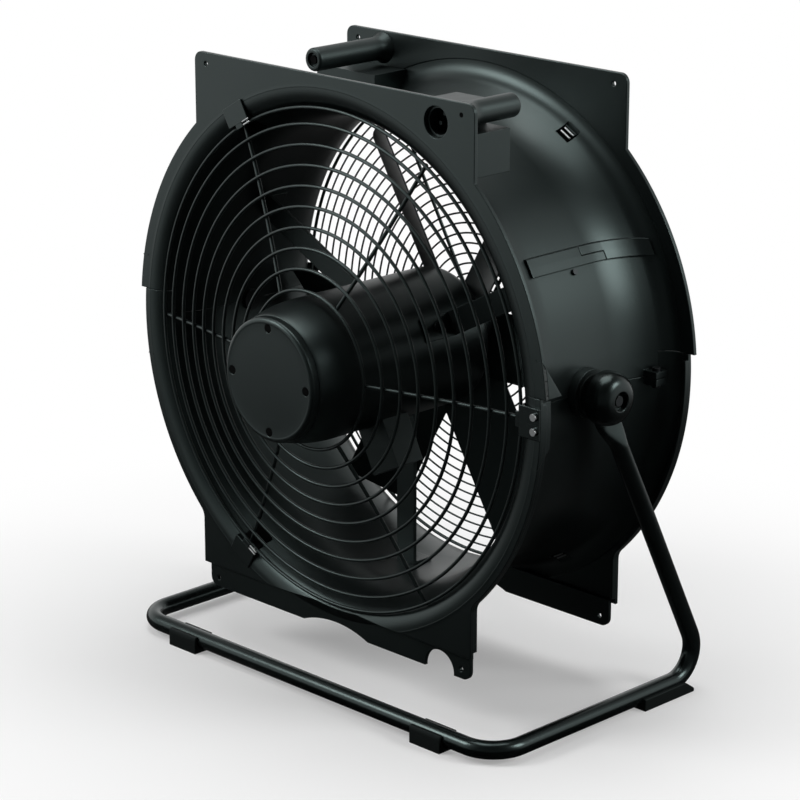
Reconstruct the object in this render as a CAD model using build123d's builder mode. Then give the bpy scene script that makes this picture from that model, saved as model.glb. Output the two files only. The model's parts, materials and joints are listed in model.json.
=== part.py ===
from build123d import *
from math import cos, radians, sin, sqrt, tan
import os

os.makedirs("parts", exist_ok=True)

# All lengths are millimetres. X runs right, Y runs back, Z runs up and the floor is z = 0.
# A depth is measured along Y from the tilt pivot. A rise is measured up from the fan axis.

# --- head: throat and flares -------------------------------------------------------------------
half_depth = 106.3  # outer faces of the plates
throat_r = 232.5
wall_t = 3.5
flare_r1 = 111.1  # two tangent arcs from the throat to the plate
flare_r2 = 25.5
flare_turn = 30.0  # degrees of the first arc
drum_r = throat_r + wall_t
mouth_r = throat_r + flare_r1 * (1 - cos(radians(flare_turn))) + flare_r2 * cos(radians(flare_turn))

# --- head: plates ------------------------------------------------------------------------------
plate_t = 4.4
plate_back = half_depth - plate_t
upper_flange = 14.5  # plate outside the mouth, on the round sides of the upper half
lower_flange = 7.5
upper_r = mouth_r + upper_flange
lower_r = mouth_r + lower_flange
far = upper_r + lower_r  # longer than anything it cuts
ear_half_w = 191.5
ear_corner_r = 9.5
plate_top = mouth_r + 12.9
plate_bottom = -mouth_r - 9.5
plate_seam = 24.0  # rise of the step between the halves on the plates
seam_gap = 0.4
seam_depth = half_depth - 14.3  # behind this depth the seam climbs from the drum to the plate
waist_fillet_r = 15.0  # under the round edge of the lower half
joggle_rise = plate_bottom + 25.0  # the bottom strip is set back below this
strip_half_w = ear_half_w - 4.5
rim_depth = 9.0  # turned edge of the lower half
rim_t = 3.0
arch_chord = 92.0  # arch in the bottom edge
arch_rise = 9.0
notch_x = 145.5  # half round notch, front plate only
notch_r = 19.5
notch_centre = 1.5  # above the bottom edge
hole_r = 2.5  # bolt holes of the plates
hole_x = ear_half_w - 16.7
top_hole = plate_top - 11.4
bottom_hole = plate_bottom + 9.7
lip_r = 7.0  # turned lips of the front plate at three and nine o'clock, as corners of depth and rise
lip_low = plate_seam + seam_gap / 2
upper_lip = [(-half_depth, lip_low + 35.8), (-half_depth, lip_low), (-seam_depth + 8.0, lip_low)]
lower_lip = [(-half_depth, plate_seam - 4.0), (-seam_depth, plate_seam - 4.0), (-seam_depth, -27.0),
             (-half_depth, -45.0)]

# --- head: seam lugs ---------------------------------------------------------------------------
lug_from = seam_depth - 16.0
lug_x = drum_r + 23.0
lug_half_h = 7.0
seam_bolt_x = lug_x - 6.5
seam_bolt_r = 2.5
bolt_play = 0.1  # radial room of a bolt in its hole
seam_head_r = 4.4
seam_head_h = 3.0

# --- head: cord posts and boxes ----------------------------------------------------------------
post_front = (hole_x, top_hole)  # x and rise
post_front_tip = -38.0
post_front_base_r = 14.2
post_front_tip_r = 11.5
post_rear = (-139.0, plate_top - 17.4)
post_rear_tip = 4.0
post_rear_base_r = 16.5
post_rear_tip_r = 12.0
post_flare = 14.0  # the base narrows over this length
post_round = 3.0
post_bore_r = 2.6
post_recess_r = 7.5
post_recess = 3.2
post_screw_r = 2.4
post_head_r = 4.4
post_head_drop = 1.0  # below the tip of the post
box_wall = 2.5
box_depth = 44.0
box_low = 214.0
box_out = ear_half_w - 1.5
inlet_hole_r = 15.0
inlet_x = 142.5
inlet_rise = plate_top - 22.9
inlet_floor = 20.0  # depth of the inlet behind the plate
inlet_pin_r = 2.2
inlet_pin_l = 10.0
inlet_pin_ring = 6.5
wiring_box_in = inlet_x - 20.5
wiring_box_step = hole_x - 14.4  # the box is lower beside the post
wiring_box_mid = top_hole - 16.5
wiring_box_top = plate_top - plate_t
capacitor_box_in = 105.0
capacitor_box_top = plate_top - 35.4

# --- guards ------------------------------------------------------------------------------------
guard_first_r = 78.6
guard_step = 19.45
guard_edge_r = mouth_r - 19.5
guard_rings = int((guard_edge_r - guard_first_r) // guard_step) + 1  # as many as fit inside the edge ring
guard_edge_depth = half_depth - 3.1
guard_wire_r = 1.75
guard_spoke_r = 2.0
guard_spokes = 6
guard_weld = 0.8  # how far a spoke sinks into the rings it is welded to
guard_slope = 0.13  # the guard domes forward by slope*d + curve*d^2, d inward from its edge
guard_curve = 0.00039
rear_ring_step = 10.35
rear_ring_depth = half_depth - 5.3
rear_wire_r = 1.0
rear_wire_sides = 8  # the thin rear rings have flats, which keeps their mesh light
rear_edge_r = guard_edge_r - 2.5
rear_rings = int(rear_edge_r // rear_ring_step)
rear_edge_wire_r = 1.7
rear_spoke_r = 1.8
rear_spoke_lift = 2.1  # spokes lie this far behind the rings
rear_spoke_out = rear_edge_r + 0.8
rear_spoke_in = rear_ring_step - 1.65  # a spoke ends just inside the first ring
skin_reach = 3 * wall_t  # clips and latch keep out of the flare, and of this much outside its air side
clip_w = 31.0
clip_t = 2.0
clip_out_r = mouth_r + 3.5
clip_in_r = guard_edge_r + 2.0
clip_hook_w = 10.0
clip_hook_in_r = clip_in_r - 5.0
clip_slot_w = 14.0
clip_slot_h = 4.0
clip_slot_r = clip_out_r - 8.5
front_clip_angles = (120, 240)  # the latch is the third fixing, at 0
rear_clip_angles = (60, 180, 300)
latch_h = 30.0
latch_in_r = clip_in_r - 5.5
latch_t = 2.5
latch_screw_r = 2.0
latch_head_r = 3.6
latch_screw_x = mouth_r + 2.0
latch_screw_rise = 7.0

# --- motor -------------------------------------------------------------------------------------
cap_reach = 187.5  # front face of the motor cap, the foremost point
cap_t = 9.5
cap_face_r = 58.0
cap_base_r = cap_face_r + 3.5
cap_screw_ring = cap_face_r - 6.5
cap_screw_r = 2.0
cap_head_r = 4.2
cap_head_h = 2.6
motor_front = -cap_reach + cap_t
motor_r = cap_base_r + 8.5
motor_rear = 50.0
motor_round = 12.0  # rounded rear shoulder
motor_nose_r = cap_base_r + 1.0  # the front swells from this radius to the body's over motor_nose_l
motor_nose_l = 48.0
motor_wall = 12.0
bearing_r = 16.0
bearing_w = 10.0
bearing_play = 0.05
shaft_r = 6.0
shaft_clear_r = 9.0
shaft_front = motor_front + 4.0
motor_box_angle = 297.0
motor_box_w = 38.0
motor_box_out_r = motor_r + 46.0
motor_box_from = -82.0
motor_box_to = -48.0
strut_angles = {"right": 27.5, "left": 152.5, "bottom": 270.0}
strut_w = 24.0
strut_t = 4.0
strut_depth = -1.0
strut_foot_t = 3.0
strut_foot_rear = 22.0
strut_tab_front = -40.0
strut_bolt_depth = 11.0
strut_bolt_r = 2.5
strut_bolt_head_r = 4.6
strut_bolt_head_h = 2.6
strut_drum_head_r = 3.0  # clears the strap
strut_screw_depth = -24.0

# --- side straps -------------------------------------------------------------------------------
strap_bolt_gap = 2.0273  # from a strut bolt's head up to the strap
strap_low = drum_r * sin(radians(strut_angles["right"])) + strut_drum_head_r + strap_bolt_gap
strap_high = strap_low + 15.6
strap_front = -46.0
strap_rear = seam_depth + 6.0
strap_step_front = 26.0  # the stepped joint of the two tongues
strap_step_rear = 55.0
strap_t = 3.0
strap_gap = 0.4

# --- rotor -------------------------------------------------------------------------------------
hub_r = 46.0
hub_front = motor_rear + 4.0
hub_rear = hub_front + 34.0
hub_round = 8.0
hub_wall = 3.0
hub_boss_r = 15.0
nut_across = 19.0
nut_h = 7.0
shaft_rear = hub_rear + nut_h + 1.5
blade_count = 6
blade_angle = 121.0  # direction of the first blade
blade_depth = hub_front + 10.3  # middle of the chord
blade_shift = 4.6  # the chord's middle is this far before the radial line
blade_root_r = 37.0  # inside the hub, so the hub trims the root
blade_tip_r = throat_r - 9.5
blade_gap = 2.0  # between the blades' roots and the motor
blade_chord = 68.4
blade_pitch = 33.1
blade_t = 2.4
blade_camber = 3.0

# --- pivots and knobs --------------------------------------------------------------------------
stud_r = 6.0
stud_play = 0.08
stud_head_r = 11.0
stud_head_out = throat_r - 0.4
stud_head_in = stud_head_out - 3.3
boss_r = 24.0
boss_out = drum_r + 9.0
washer_r = 20.0
washer_t = 2.6
washer_out = boss_out + washer_t
flat_w = 28.0  # flattened top of a stand arm
flat_t = 9.4
flat_corner_r = 4.5
flat_in = washer_out + 0.3
knob_r = 26.0
knob_in = flat_in + flat_t + 0.4
knob_out = knob_in + 24.3
knob_rim = knob_in + 8.3  # where the dome starts
knob_crown_r = 12.0
knob_dome_r = knob_r - 3.6  # a point half way up the dome
knob_dome_mid = knob_rim + 11.2
knob_floor = knob_out - 6.0
knob_recess_r = 9.0
knob_bore_r = stud_r + stud_play
knob_bore_end = knob_floor - 2.4
end_gap = 0.3  # between the screw and the knob
stud_end = knob_bore_end - 0.4
stud_screw_r = 2.4
stud_screw_head_r = 5.0
stud_screw_head_h = 2.8
stud_screw_l = 14.0
knob_screw_r = stud_screw_r + end_gap

# --- stand -------------------------------------------------------------------------------------
tube_r = 9.0  # bent steel tube
foot_under = 4.0  # rubber between tube and floor
stand_half_w = flat_in + 8.3  # centre plane of a side bar and its arm
front_bar = -141.1  # depth of the front bar
rear_corner = 164.4  # depth where a side bar and its arm would meet
pivot_rise = 322.2  # pivot above the centre line of the bars
front_bend_r = 36.0  # bend radii are to the centre line
rear_bend_r = 31.0
flat_start = 28.0  # along the arm from the pivot, where the flat is complete
round_start = 62.0  # along the arm from the pivot, where the tube is still round
front_foot_x = stand_half_w - 80.2
front_foot_l = 41.0
front_foot_r = tube_r + 3.2  # outside of the saddle
front_foot_lip = 5.0  # how far the saddle climbs past the middle of the tube
rear_foot_from = 62.0  # depths of the rear pad
rear_foot_to = 137.0
rear_foot_w = 24.0
rear_foot_h = foot_under + tube_r

# --- derived -----------------------------------------------------------------------------------
arm_dir = Vector(0, rear_corner, -pivot_rise).normalized()
arm_turn = 180 - Vector(0, 1, 0).get_angle(arm_dir * -1)
rear_tangent = rear_corner - rear_bend_r * tan(radians(180 - arm_turn) / 2)
rear_reach = rear_tangent + rear_bend_r + tube_r
axis_y = (cap_reach - rear_reach) / 2
tube_z = foot_under + tube_r
axis_z = tube_z + pivot_rise
throat_half = half_depth - flare_r1 * sin(radians(flare_turn)) - flare_r2 * (1 - sin(radians(flare_turn)))
fan_axis = Axis((0, axis_y, axis_z), (0, 1, 0))
tilt_axis = Axis((0, axis_y, axis_z), (1, 0, 0))
radial_plane = Plane(origin=(0, axis_y, axis_z), x_dir=(1, 0, 0), z_dir=(0, 0, 1))
tilt_plane = Plane(origin=(0, axis_y, axis_z), x_dir=(0, 1, 0), z_dir=(0, 0, -1))
print("axis at", axis_y, axis_z, "arm turn", arm_turn, "throat half", throat_half)


def at(depth):
    """Plane across the fan axis at a depth: x right, y up, normal to the front."""
    return Plane(origin=(0, axis_y + depth, axis_z), x_dir=(1, 0, 0), z_dir=(0, -1, 0))


def side(x):
    """Plane across the tilt axis: x is depth, y is rise, normal to the right."""
    return Plane(origin=(x, axis_y, axis_z), x_dir=(0, 1, 0), z_dir=(1, 0, 0))


def outward_plane(depth, angle):
    """Plane through the fan axis at a depth whose normal points out at this angle."""
    outward = (cos(radians(angle)), 0, sin(radians(angle)))
    return Plane(at(depth).origin, x_dir=(0, 1, 0), z_dir=outward)


def polygon(points):
    """Filled polygon through these points of the current sketch."""
    with BuildLine() as outline:
        Polyline(*points, close=True)
    make_face(outline.edges())


def throat_line(offset):
    """Half of the throat and flare, this far outside the air side."""
    straight = Line((throat_r + offset, 0), (throat_r + offset, throat_half))
    first = JernArc(straight @ 1, (0, 1), flare_r1 - offset, -flare_turn)
    second = JernArc(first @ 1, first % 1, flare_r2 - offset, flare_turn - 90)
    return straight @ 0, second @ 1


def skin_section(inside, outside):
    """Section of a skin that follows the throat, between two offsets from the air side."""
    with BuildLine() as outline:
        inner = throat_line(inside)
        outer = throat_line(outside)
        Line(inner[0], outer[0])
        Line(inner[1], outer[1])
    make_face(outline.edges())
    mirror(about=Plane.XZ)


def filled_section(offset):
    """Section of everything inside that offset, down to the fan axis."""
    with BuildLine() as outline:
        ends = throat_line(offset)
        Polyline(ends[0], (0, 0), (0, ends[1].Y), ends[1])
    make_face(outline.edges())
    mirror(about=Plane.XZ)


def cut_block(x, depths, rises):
    """Takes away a block between these depths and rises, symmetrical in x."""
    with BuildSketch(side(0)) as block:
        with Locations(((depths[0] + depths[1]) / 2, (rises[0] + rises[1]) / 2)):
            Rectangle(depths[1] - depths[0], rises[1] - rises[0])
    extrude(block.sketch, amount=x, both=True, mode=Mode.SUBTRACT)


def lug_rows():
    """The four seam lugs, whole, before the halves are cut apart."""
    for x in (-1, 1):
        for y in (-1, 1):
            with BuildSketch(side(0)) as lug:
                with Locations((y * (lug_from + seam_depth) / 2, 0)):
                    Rectangle(seam_depth - lug_from, 2 * lug_half_h)
            extrude(lug.sketch, amount=x * lug_x)


def seam_circles(radius):
    """Circles at the four seam bolts, for a sketch seen from above."""
    with Locations((0, axis_y)):
        with GridLocations(2 * seam_bolt_x, lug_from + seam_depth, 2, 2):
            Circle(radius)


def lips(corners, outer_r):
    """Turned lips of the front plate beside the seam, on both sides."""
    with BuildPart() as pair:
        with BuildSketch(at(0)):
            Circle(outer_r)
            Circle(outer_r - lip_r, mode=Mode.SUBTRACT)
        extrude(amount=half_depth)
        with BuildSketch(side(0)):
            polygon(corners)
        extrude(amount=outer_r, both=True, mode=Mode.INTERSECT)
    return pair.part


# ================================================================== upper half of the shell
upper_add = lips(upper_lip, upper_r)
with BuildPart() as upper_shell:
    for depth in (-plate_back, half_depth):
        with BuildSketch(at(depth)):
            Circle(upper_r)
            RectangleRounded(2 * ear_half_w, 2 * plate_top, ear_corner_r)
            with Locations((0, (plate_top + plate_seam) / 2)):
                Rectangle(2 * upper_r, plate_top - plate_seam, mode=Mode.INTERSECT)
        extrude(amount=plate_t)
    with BuildSketch(radial_plane):
        skin_section(0, wall_t)
    revolve(axis=fan_axis)
    add(upper_add)
    lug_rows()
    with BuildSketch(radial_plane):
        filled_section(0)
    revolve(axis=fan_axis, mode=Mode.SUBTRACT)
    cut_block(far, (-half_depth, half_depth), (-far, seam_gap / 2))
    for end in (-1, 1):
        depths = sorted((end * seam_depth, end * half_depth))
        cut_block(far, depths, (-lug_half_h, plate_seam + seam_gap / 2))
    with BuildSketch(at(half_depth)):
        with Locations((-hole_x, top_hole), (hole_x, top_hole)):
            Circle(hole_r)
    extrude(amount=2 * half_depth, mode=Mode.SUBTRACT)
    with BuildSketch(at(half_depth)):
        with Locations(post_rear):
            Circle(post_bore_r)
    extrude(amount=plate_t, mode=Mode.SUBTRACT)
    with BuildSketch(at(-plate_back)):
        with Locations((inlet_x, inlet_rise)):
            Circle(inlet_hole_r)
    extrude(amount=plate_t, mode=Mode.SUBTRACT)
    with BuildSketch(Plane.XY.offset(axis_z)):
        seam_circles(seam_bolt_r + bolt_play)
    extrude(amount=lug_half_h, mode=Mode.SUBTRACT)
    with BuildSketch(side(-far)):
        Circle(stud_r + bolt_play)
    extrude(amount=2 * far, mode=Mode.SUBTRACT)
    for angle in (strut_angles["right"], strut_angles["left"]):
        with BuildSketch(outward_plane(strut_bolt_depth, angle)):
            Circle(strut_bolt_r + bolt_play)
        extrude(amount=lug_x, mode=Mode.SUBTRACT)
upper_shell.part.label = "upper_shell"
export_step(upper_shell.part, "parts/upper_shell.step")

# ================================================================== lower half of the shell
lower_add = lips(lower_lip, lower_r)
waist_rise = -sqrt(lower_r ** 2 - ear_half_w ** 2)
arch_r = (arch_chord ** 2 / 4 + arch_rise ** 2) / (2 * arch_rise)


def lower_outline(inset):
    """Outline of the lower plates down to the joggle, drawn this far inside the edge."""
    Circle(lower_r - inset)
    Rectangle(2 * (ear_half_w - inset), 2 * lower_r)
    with Locations((0, (plate_seam + joggle_rise) / 2)):
        Rectangle(2 * lower_r, plate_seam - seam_gap - joggle_rise, mode=Mode.INTERSECT)


with BuildPart() as lower_shell:
    for depth in (-plate_back, half_depth):
        with BuildSketch(at(depth)) as lower_plate:
            lower_outline(0)
            fillet([v for v in lower_plate.vertices() if abs(v.Y - waist_rise) < 0.1], waist_fillet_r)
        extrude(amount=plate_t)
    for depth in (half_depth - rim_depth, -half_depth + rim_depth):
        with BuildSketch(at(depth)) as lower_rim:
            lower_outline(0)
            fillet([v for v in lower_rim.vertices() if abs(v.Y - waist_rise) < 0.1], waist_fillet_r)
            offset(amount=-rim_t, mode=Mode.SUBTRACT)
            with Locations((0, (plate_seam + joggle_rise) / 2)):
                Rectangle(2 * lower_r, plate_seam - joggle_rise - 4 * rim_t, mode=Mode.INTERSECT)
        extrude(amount=(rim_depth - plate_t) * (1 if depth < 0 else -1))
    with BuildSketch(radial_plane):
        skin_section(0, wall_t)
    revolve(axis=fan_axis)
    add(lower_add)
    lug_rows()
    for end in (-1, 1):
        depths = sorted((end * plate_back, end * half_depth))
        cut_block(far, depths, (-far, joggle_rise))
    for depth in (plate_back, -plate_back + plate_t):
        with BuildSketch(at(depth)):
            with Locations((0, plate_bottom / 2)):
                RectangleRounded(2 * strip_half_w, -plate_bottom, ear_corner_r)
            with Locations((0, joggle_rise + plate_t)):
                Rectangle(2 * far, 2 * far, align=(Align.CENTER, Align.MIN), mode=Mode.SUBTRACT)
            with Locations((0, plate_bottom + arch_rise - arch_r)):
                Circle(arch_r, mode=Mode.SUBTRACT)
            with Locations((-hole_x, bottom_hole), (hole_x, bottom_hole)):
                Circle(hole_r, mode=Mode.SUBTRACT)
            if depth < 0:
                with Locations((notch_x, plate_bottom + notch_centre)):
                    Circle(notch_r, mode=Mode.SUBTRACT)
        extrude(amount=plate_t)
    with BuildSketch(radial_plane):
        filled_section(0)
    revolve(axis=fan_axis, mode=Mode.SUBTRACT)
    cut_block(far, (-half_depth, half_depth), (plate_seam - seam_gap / 2, far))
    cut_block(far, (-seam_depth - seam_gap, seam_depth + seam_gap), (-seam_gap / 2, far))
    with BuildSketch(Plane.XY.offset(axis_z)):
        seam_circles(seam_bolt_r + bolt_play)
    extrude(amount=-lug_half_h, mode=Mode.SUBTRACT)
    with BuildSketch(side(-far)):
        Circle(stud_r + bolt_play)
    extrude(amount=2 * far, mode=Mode.SUBTRACT)
    with BuildSketch(outward_plane(strut_bolt_depth, strut_angles["bottom"])):
        Circle(strut_bolt_r + bolt_play)
    extrude(amount=lug_x, mode=Mode.SUBTRACT)
lower_shell.part.label = "lower_shell"
export_step(lower_shell.part, "parts/lower_shell.step")

# ================================================================== seam bolts, each with its nut
with BuildPart() as seam_bolts:
    with BuildSketch(Plane.XY.offset(axis_z)):
        seam_circles(seam_bolt_r)
    extrude(amount=lug_half_h, both=True)
    with BuildSketch(Plane.XY.offset(axis_z + lug_half_h)):
        seam_circles(seam_head_r)
    extrude(amount=seam_head_h)
    with BuildSketch(Plane.XY.offset(axis_z - lug_half_h)):
        with Locations((0, axis_y)):
            with GridLocations(2 * seam_bolt_x, lug_from + seam_depth, 2, 2):
                RegularPolygon(seam_head_r, 6)
    extrude(amount=-seam_head_h)
seam_bolts.part.label = "seam_bolts"
export_step(seam_bolts.part, "parts/seam_bolts.step")

# ================================================================== side straps
strap_mid = (strap_low + strap_high) / 2
below_mid = strap_mid - strap_gap / 2
above_mid = strap_mid + strap_gap / 2
rear_tongue_tip = strap_step_front + strap_gap
rear_tongue_root = strap_step_rear + strap_gap
strap_shapes = {
    "front": [(strap_front, strap_low), (strap_step_rear, strap_low), (strap_step_rear, below_mid),
              (strap_step_front, below_mid), (strap_step_front, strap_high), (strap_front, strap_high)],
    "rear": [(rear_tongue_root, strap_low), (strap_rear, strap_low), (strap_rear, strap_high),
             (rear_tongue_tip, strap_high), (rear_tongue_tip, above_mid), (rear_tongue_root, above_mid)],
}
for end, corners in strap_shapes.items():
    for hand, sign in (("right", 1), ("left", -1)):
        with BuildPart() as strap:
            with BuildSketch(radial_plane):
                skin_section(wall_t, wall_t + strap_t)
            revolve(axis=fan_axis)
            with BuildSketch(side(0)):
                polygon(corners)
            extrude(amount=sign * far, mode=Mode.INTERSECT)
        strap.part.label = f"strap_{end}_{hand}"
        export_step(strap.part, f"parts/strap_{end}_{hand}.step")

# ================================================================== cord posts and their screws
post_ends = {
    "front": (post_front, -plate_back, post_front_tip, post_front_base_r, post_front_tip_r),
    "rear": (post_rear, plate_back, post_rear_tip, post_rear_base_r, post_rear_tip_r),
}
for end, (centre, base, tip, base_r, tip_r) in post_ends.items():
    way = 1 if tip > base else -1
    middle = Plane(origin=(centre[0], axis_y, axis_z + centre[1]), x_dir=(1, 0, 0), z_dir=(0, 0, 1))
    with BuildPart() as post:
        with BuildSketch(middle):
            polygon([(post_bore_r, base), (base_r, base), (tip_r, base + way * post_flare),
                     (tip_r, tip - way * post_round), (tip_r - post_round, tip), (post_recess_r, tip),
                     (post_recess_r, tip - way * post_recess), (post_bore_r, tip - way * post_recess)])
        revolve(axis=Axis(middle.origin, (0, 1, 0)))
        cut_block(far, (-half_depth, half_depth), (plate_top, far))
    post.part.label = f"cord_post_{end}"
    export_step(post.part, f"parts/cord_post_{end}.step")

with BuildPart() as post_screws:
    for centre, base, tip, base_r, tip_r in post_ends.values():
        way = 1 if tip > base else -1
        middle = Plane(origin=(centre[0], axis_y, axis_z + centre[1]), x_dir=(1, 0, 0), z_dir=(0, 0, 1))
        seat = tip - way * post_recess
        with BuildSketch(middle):
            polygon([(0, base - way * plate_t), (post_screw_r, base - way * plate_t), (post_screw_r, seat),
                     (post_head_r, seat), (post_head_r, tip - way * post_head_drop),
                     (0, tip - way * post_head_drop)])
        revolve(axis=Axis(middle.origin, (0, 1, 0)))
post_screws.part.label = "post_screws"
export_step(post_screws.part, "parts/post_screws.step")

# ================================================================== wiring box, power inlet, capacitor box
wiring_outline = [(wiring_box_in, box_low), (box_out, box_low), (box_out, wiring_box_mid),
                  (wiring_box_step, wiring_box_mid), (wiring_box_step, wiring_box_top),
                  (wiring_box_in, wiring_box_top)]
with BuildPart() as wiring_box:
    with BuildSketch(at(-plate_back + box_depth)):
        polygon(wiring_outline)
    extrude(amount=box_depth)
    with BuildSketch(at(-plate_back + box_depth - box_wall)):
        polygon(wiring_outline)
        offset(amount=-box_wall, mode=Mode.REPLACE)
    extrude(amount=box_depth - box_wall, mode=Mode.SUBTRACT)
    with BuildSketch(radial_plane):
        filled_section(wall_t)
    revolve(axis=fan_axis, mode=Mode.SUBTRACT)
wiring_box.part.label = "wiring_box"
export_step(wiring_box.part, "parts/wiring_box.step")

with BuildPart() as power_inlet:
    with BuildSketch(at(-plate_back + inlet_floor)):
        with Locations((inlet_x, inlet_rise)):
            Circle(inlet_hole_r)
    extrude(amount=inlet_floor)
    with BuildSketch(at(-plate_back + inlet_floor - box_wall)):
        with Locations((inlet_x, inlet_rise)):
            Circle(inlet_hole_r - box_wall)
    extrude(amount=inlet_floor - box_wall, mode=Mode.SUBTRACT)
    with BuildSketch(at(-plate_back + inlet_floor - box_wall)):
        with Locations((inlet_x, inlet_rise)):
            with PolarLocations(inlet_pin_ring, 3, start_angle=90):
                Circle(inlet_pin_r)
    extrude(amount=inlet_pin_l)
power_inlet.part.label = "power_inlet"
export_step(power_inlet.part, "parts/power_inlet.step")

with BuildPart() as capacitor_box:
    with BuildSketch(at(plate_back)):
        polygon([(-box_out, box_low), (-capacitor_box_in, box_low),
                 (-capacitor_box_in, capacitor_box_top), (-box_out, capacitor_box_top)])
    extrude(amount=box_depth)
    with BuildSketch(radial_plane):
        filled_section(wall_t)
    revolve(axis=fan_axis, mode=Mode.SUBTRACT)
capacitor_box.part.label = "capacitor_box"
export_step(capacitor_box.part, "parts/capacitor_box.step")

# ================================================================== guards


def guard_depth(radius):
    """Depth of the front guard's surface at this radius."""
    inward = guard_edge_r - radius
    return -(guard_edge_depth + guard_slope * inward + guard_curve * inward ** 2)


with BuildPart() as guard_spoke:
    with BuildLine(radial_plane) as spoke_path:
        mid_r = (guard_first_r + guard_edge_r) / 2
        ThreePointArc(*[(r, guard_depth(r) + guard_spoke_r + guard_wire_r - guard_weld)
                        for r in (guard_first_r, mid_r, guard_edge_r)])
    with BuildSketch(Plane(spoke_path.line @ 0, z_dir=spoke_path.line % 0)):
        Circle(guard_spoke_r)
    sweep()
with BuildPart() as front_guard:
    with BuildSketch(radial_plane):
        for k in range(guard_rings):
            radius = guard_first_r + k * guard_step
            with Locations((radius, guard_depth(radius))):
                Circle(guard_wire_r)
        with Locations((guard_edge_r, guard_depth(guard_edge_r))):
            Circle(guard_wire_r)
    revolve(axis=fan_axis)
    for k in range(guard_spokes):
        add(guard_spoke.part.rotate(fan_axis, 360 * k / guard_spokes))
front_guard.part.label = "front_guard"
export_step(front_guard.part, "parts/front_guard.step")

with BuildPart() as rear_spoke:
    with BuildSketch(side(rear_spoke_in)):
        with Locations((rear_ring_depth + rear_spoke_lift, 0)):
            Circle(rear_spoke_r)
    extrude(amount=rear_spoke_out - rear_spoke_in)
with BuildPart() as rear_guard:
    with BuildSketch(radial_plane):
        for k in range(1, rear_rings + 1):
            with Locations((k * rear_ring_step, rear_ring_depth)):
                RegularPolygon(rear_wire_r, rear_wire_sides, rotation=180 / rear_wire_sides)
        with Locations((rear_edge_r, rear_ring_depth)):
            RegularPolygon(rear_edge_wire_r, rear_wire_sides, rotation=180 / rear_wire_sides)
    revolve(axis=fan_axis)
    for k in range(guard_spokes):
        add(rear_spoke.part.rotate(fan_axis, 360 * k / guard_spokes))
rear_guard.part.label = "rear_guard"
export_step(rear_guard.part, "parts/rear_guard.step")


def ring_tabs(inner_r, outer_r, width, angles):
    """Tabs between two radii at these angles, as one sketch."""
    with BuildSketch() as bars:
        for angle in angles:
            with PolarLocations((inner_r + outer_r) / 2, 1, start_angle=angle):
                Rectangle(outer_r - inner_r + width, width)
    with BuildSketch() as ring:
        Circle(outer_r)
        Circle(inner_r, mode=Mode.SUBTRACT)
        add(bars.sketch, mode=Mode.INTERSECT)
    add(ring.sketch)


with BuildPart() as front_guard_clips:
    with BuildSketch(at(-half_depth)):
        ring_tabs(clip_in_r, clip_out_r, clip_w, front_clip_angles)
        for angle in front_clip_angles:
            with PolarLocations(clip_slot_r, 1, start_angle=angle):
                Rectangle(clip_slot_h, clip_slot_w, mode=Mode.SUBTRACT)
    extrude(amount=clip_t)
    with BuildSketch(at(-half_depth)):
        ring_tabs(clip_hook_in_r, clip_in_r, clip_hook_w, front_clip_angles)
    extrude(amount=clip_t)
    with BuildSketch(at(-seam_depth)):
        ring_tabs(clip_in_r, clip_in_r + clip_t, clip_w, front_clip_angles)
    extrude(amount=half_depth - seam_depth)
    with BuildSketch(at(-seam_depth)):
        ring_tabs(clip_hook_in_r, clip_in_r, clip_hook_w, front_clip_angles)
    extrude(amount=guard_edge_depth - guard_wire_r - seam_depth)
    with BuildSketch(radial_plane):
        skin_section(0, skin_reach)
    revolve(axis=fan_axis, mode=Mode.SUBTRACT)
    add(front_guard.part, mode=Mode.SUBTRACT)
front_guard_clips.part.label = "front_guard_clips"
export_step(front_guard_clips.part, "parts/front_guard_clips.step")

with BuildPart() as rear_guard_clips:
    with BuildSketch(at(half_depth)):
        ring_tabs(clip_hook_in_r - clip_t, clip_out_r, clip_w, rear_clip_angles)
    extrude(amount=-clip_t)
    with BuildSketch(at(half_depth)):
        ring_tabs(clip_in_r, clip_in_r + clip_t, clip_w, rear_clip_angles)
    extrude(amount=half_depth - seam_depth)
    with BuildSketch(radial_plane):
        skin_section(0, skin_reach)
    revolve(axis=fan_axis, mode=Mode.SUBTRACT)
    add(rear_guard.part, mode=Mode.SUBTRACT)
rear_guard_clips.part.label = "rear_guard_clips"
export_step(rear_guard_clips.part, "parts/rear_guard_clips.step")

# ================================================================== guard latch
with BuildPart() as guard_latch:
    with BuildSketch(at(-half_depth)):
        with Locations((clip_in_r, 0)):
            Rectangle(upper_r - lip_r - clip_in_r, latch_h, align=(Align.MIN, Align.CENTER))
        with Locations((latch_screw_x, -latch_screw_rise), (latch_screw_x, latch_screw_rise)):
            Circle(latch_screw_r, mode=Mode.SUBTRACT)
    extrude(amount=latch_t)
    with BuildSketch(at(-seam_depth)):
        with Locations((clip_in_r, 0)):
            Rectangle(latch_t, latch_h, align=(Align.MIN, Align.CENTER))
    extrude(amount=half_depth - seam_depth)
    with BuildSketch(at(-guard_edge_depth - guard_wire_r)):
        with Locations((latch_in_r, 0)):
            Rectangle(clip_in_r - latch_in_r, latch_h / 2, align=(Align.MIN, Align.CENTER))
    extrude(amount=latch_t)
    with BuildSketch(radial_plane):
        skin_section(0, skin_reach)
    revolve(axis=fan_axis, mode=Mode.SUBTRACT)
    add(front_guard.part, mode=Mode.SUBTRACT)
guard_latch.part.label = "guard_latch"
export_step(guard_latch.part, "parts/guard_latch.step")

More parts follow.
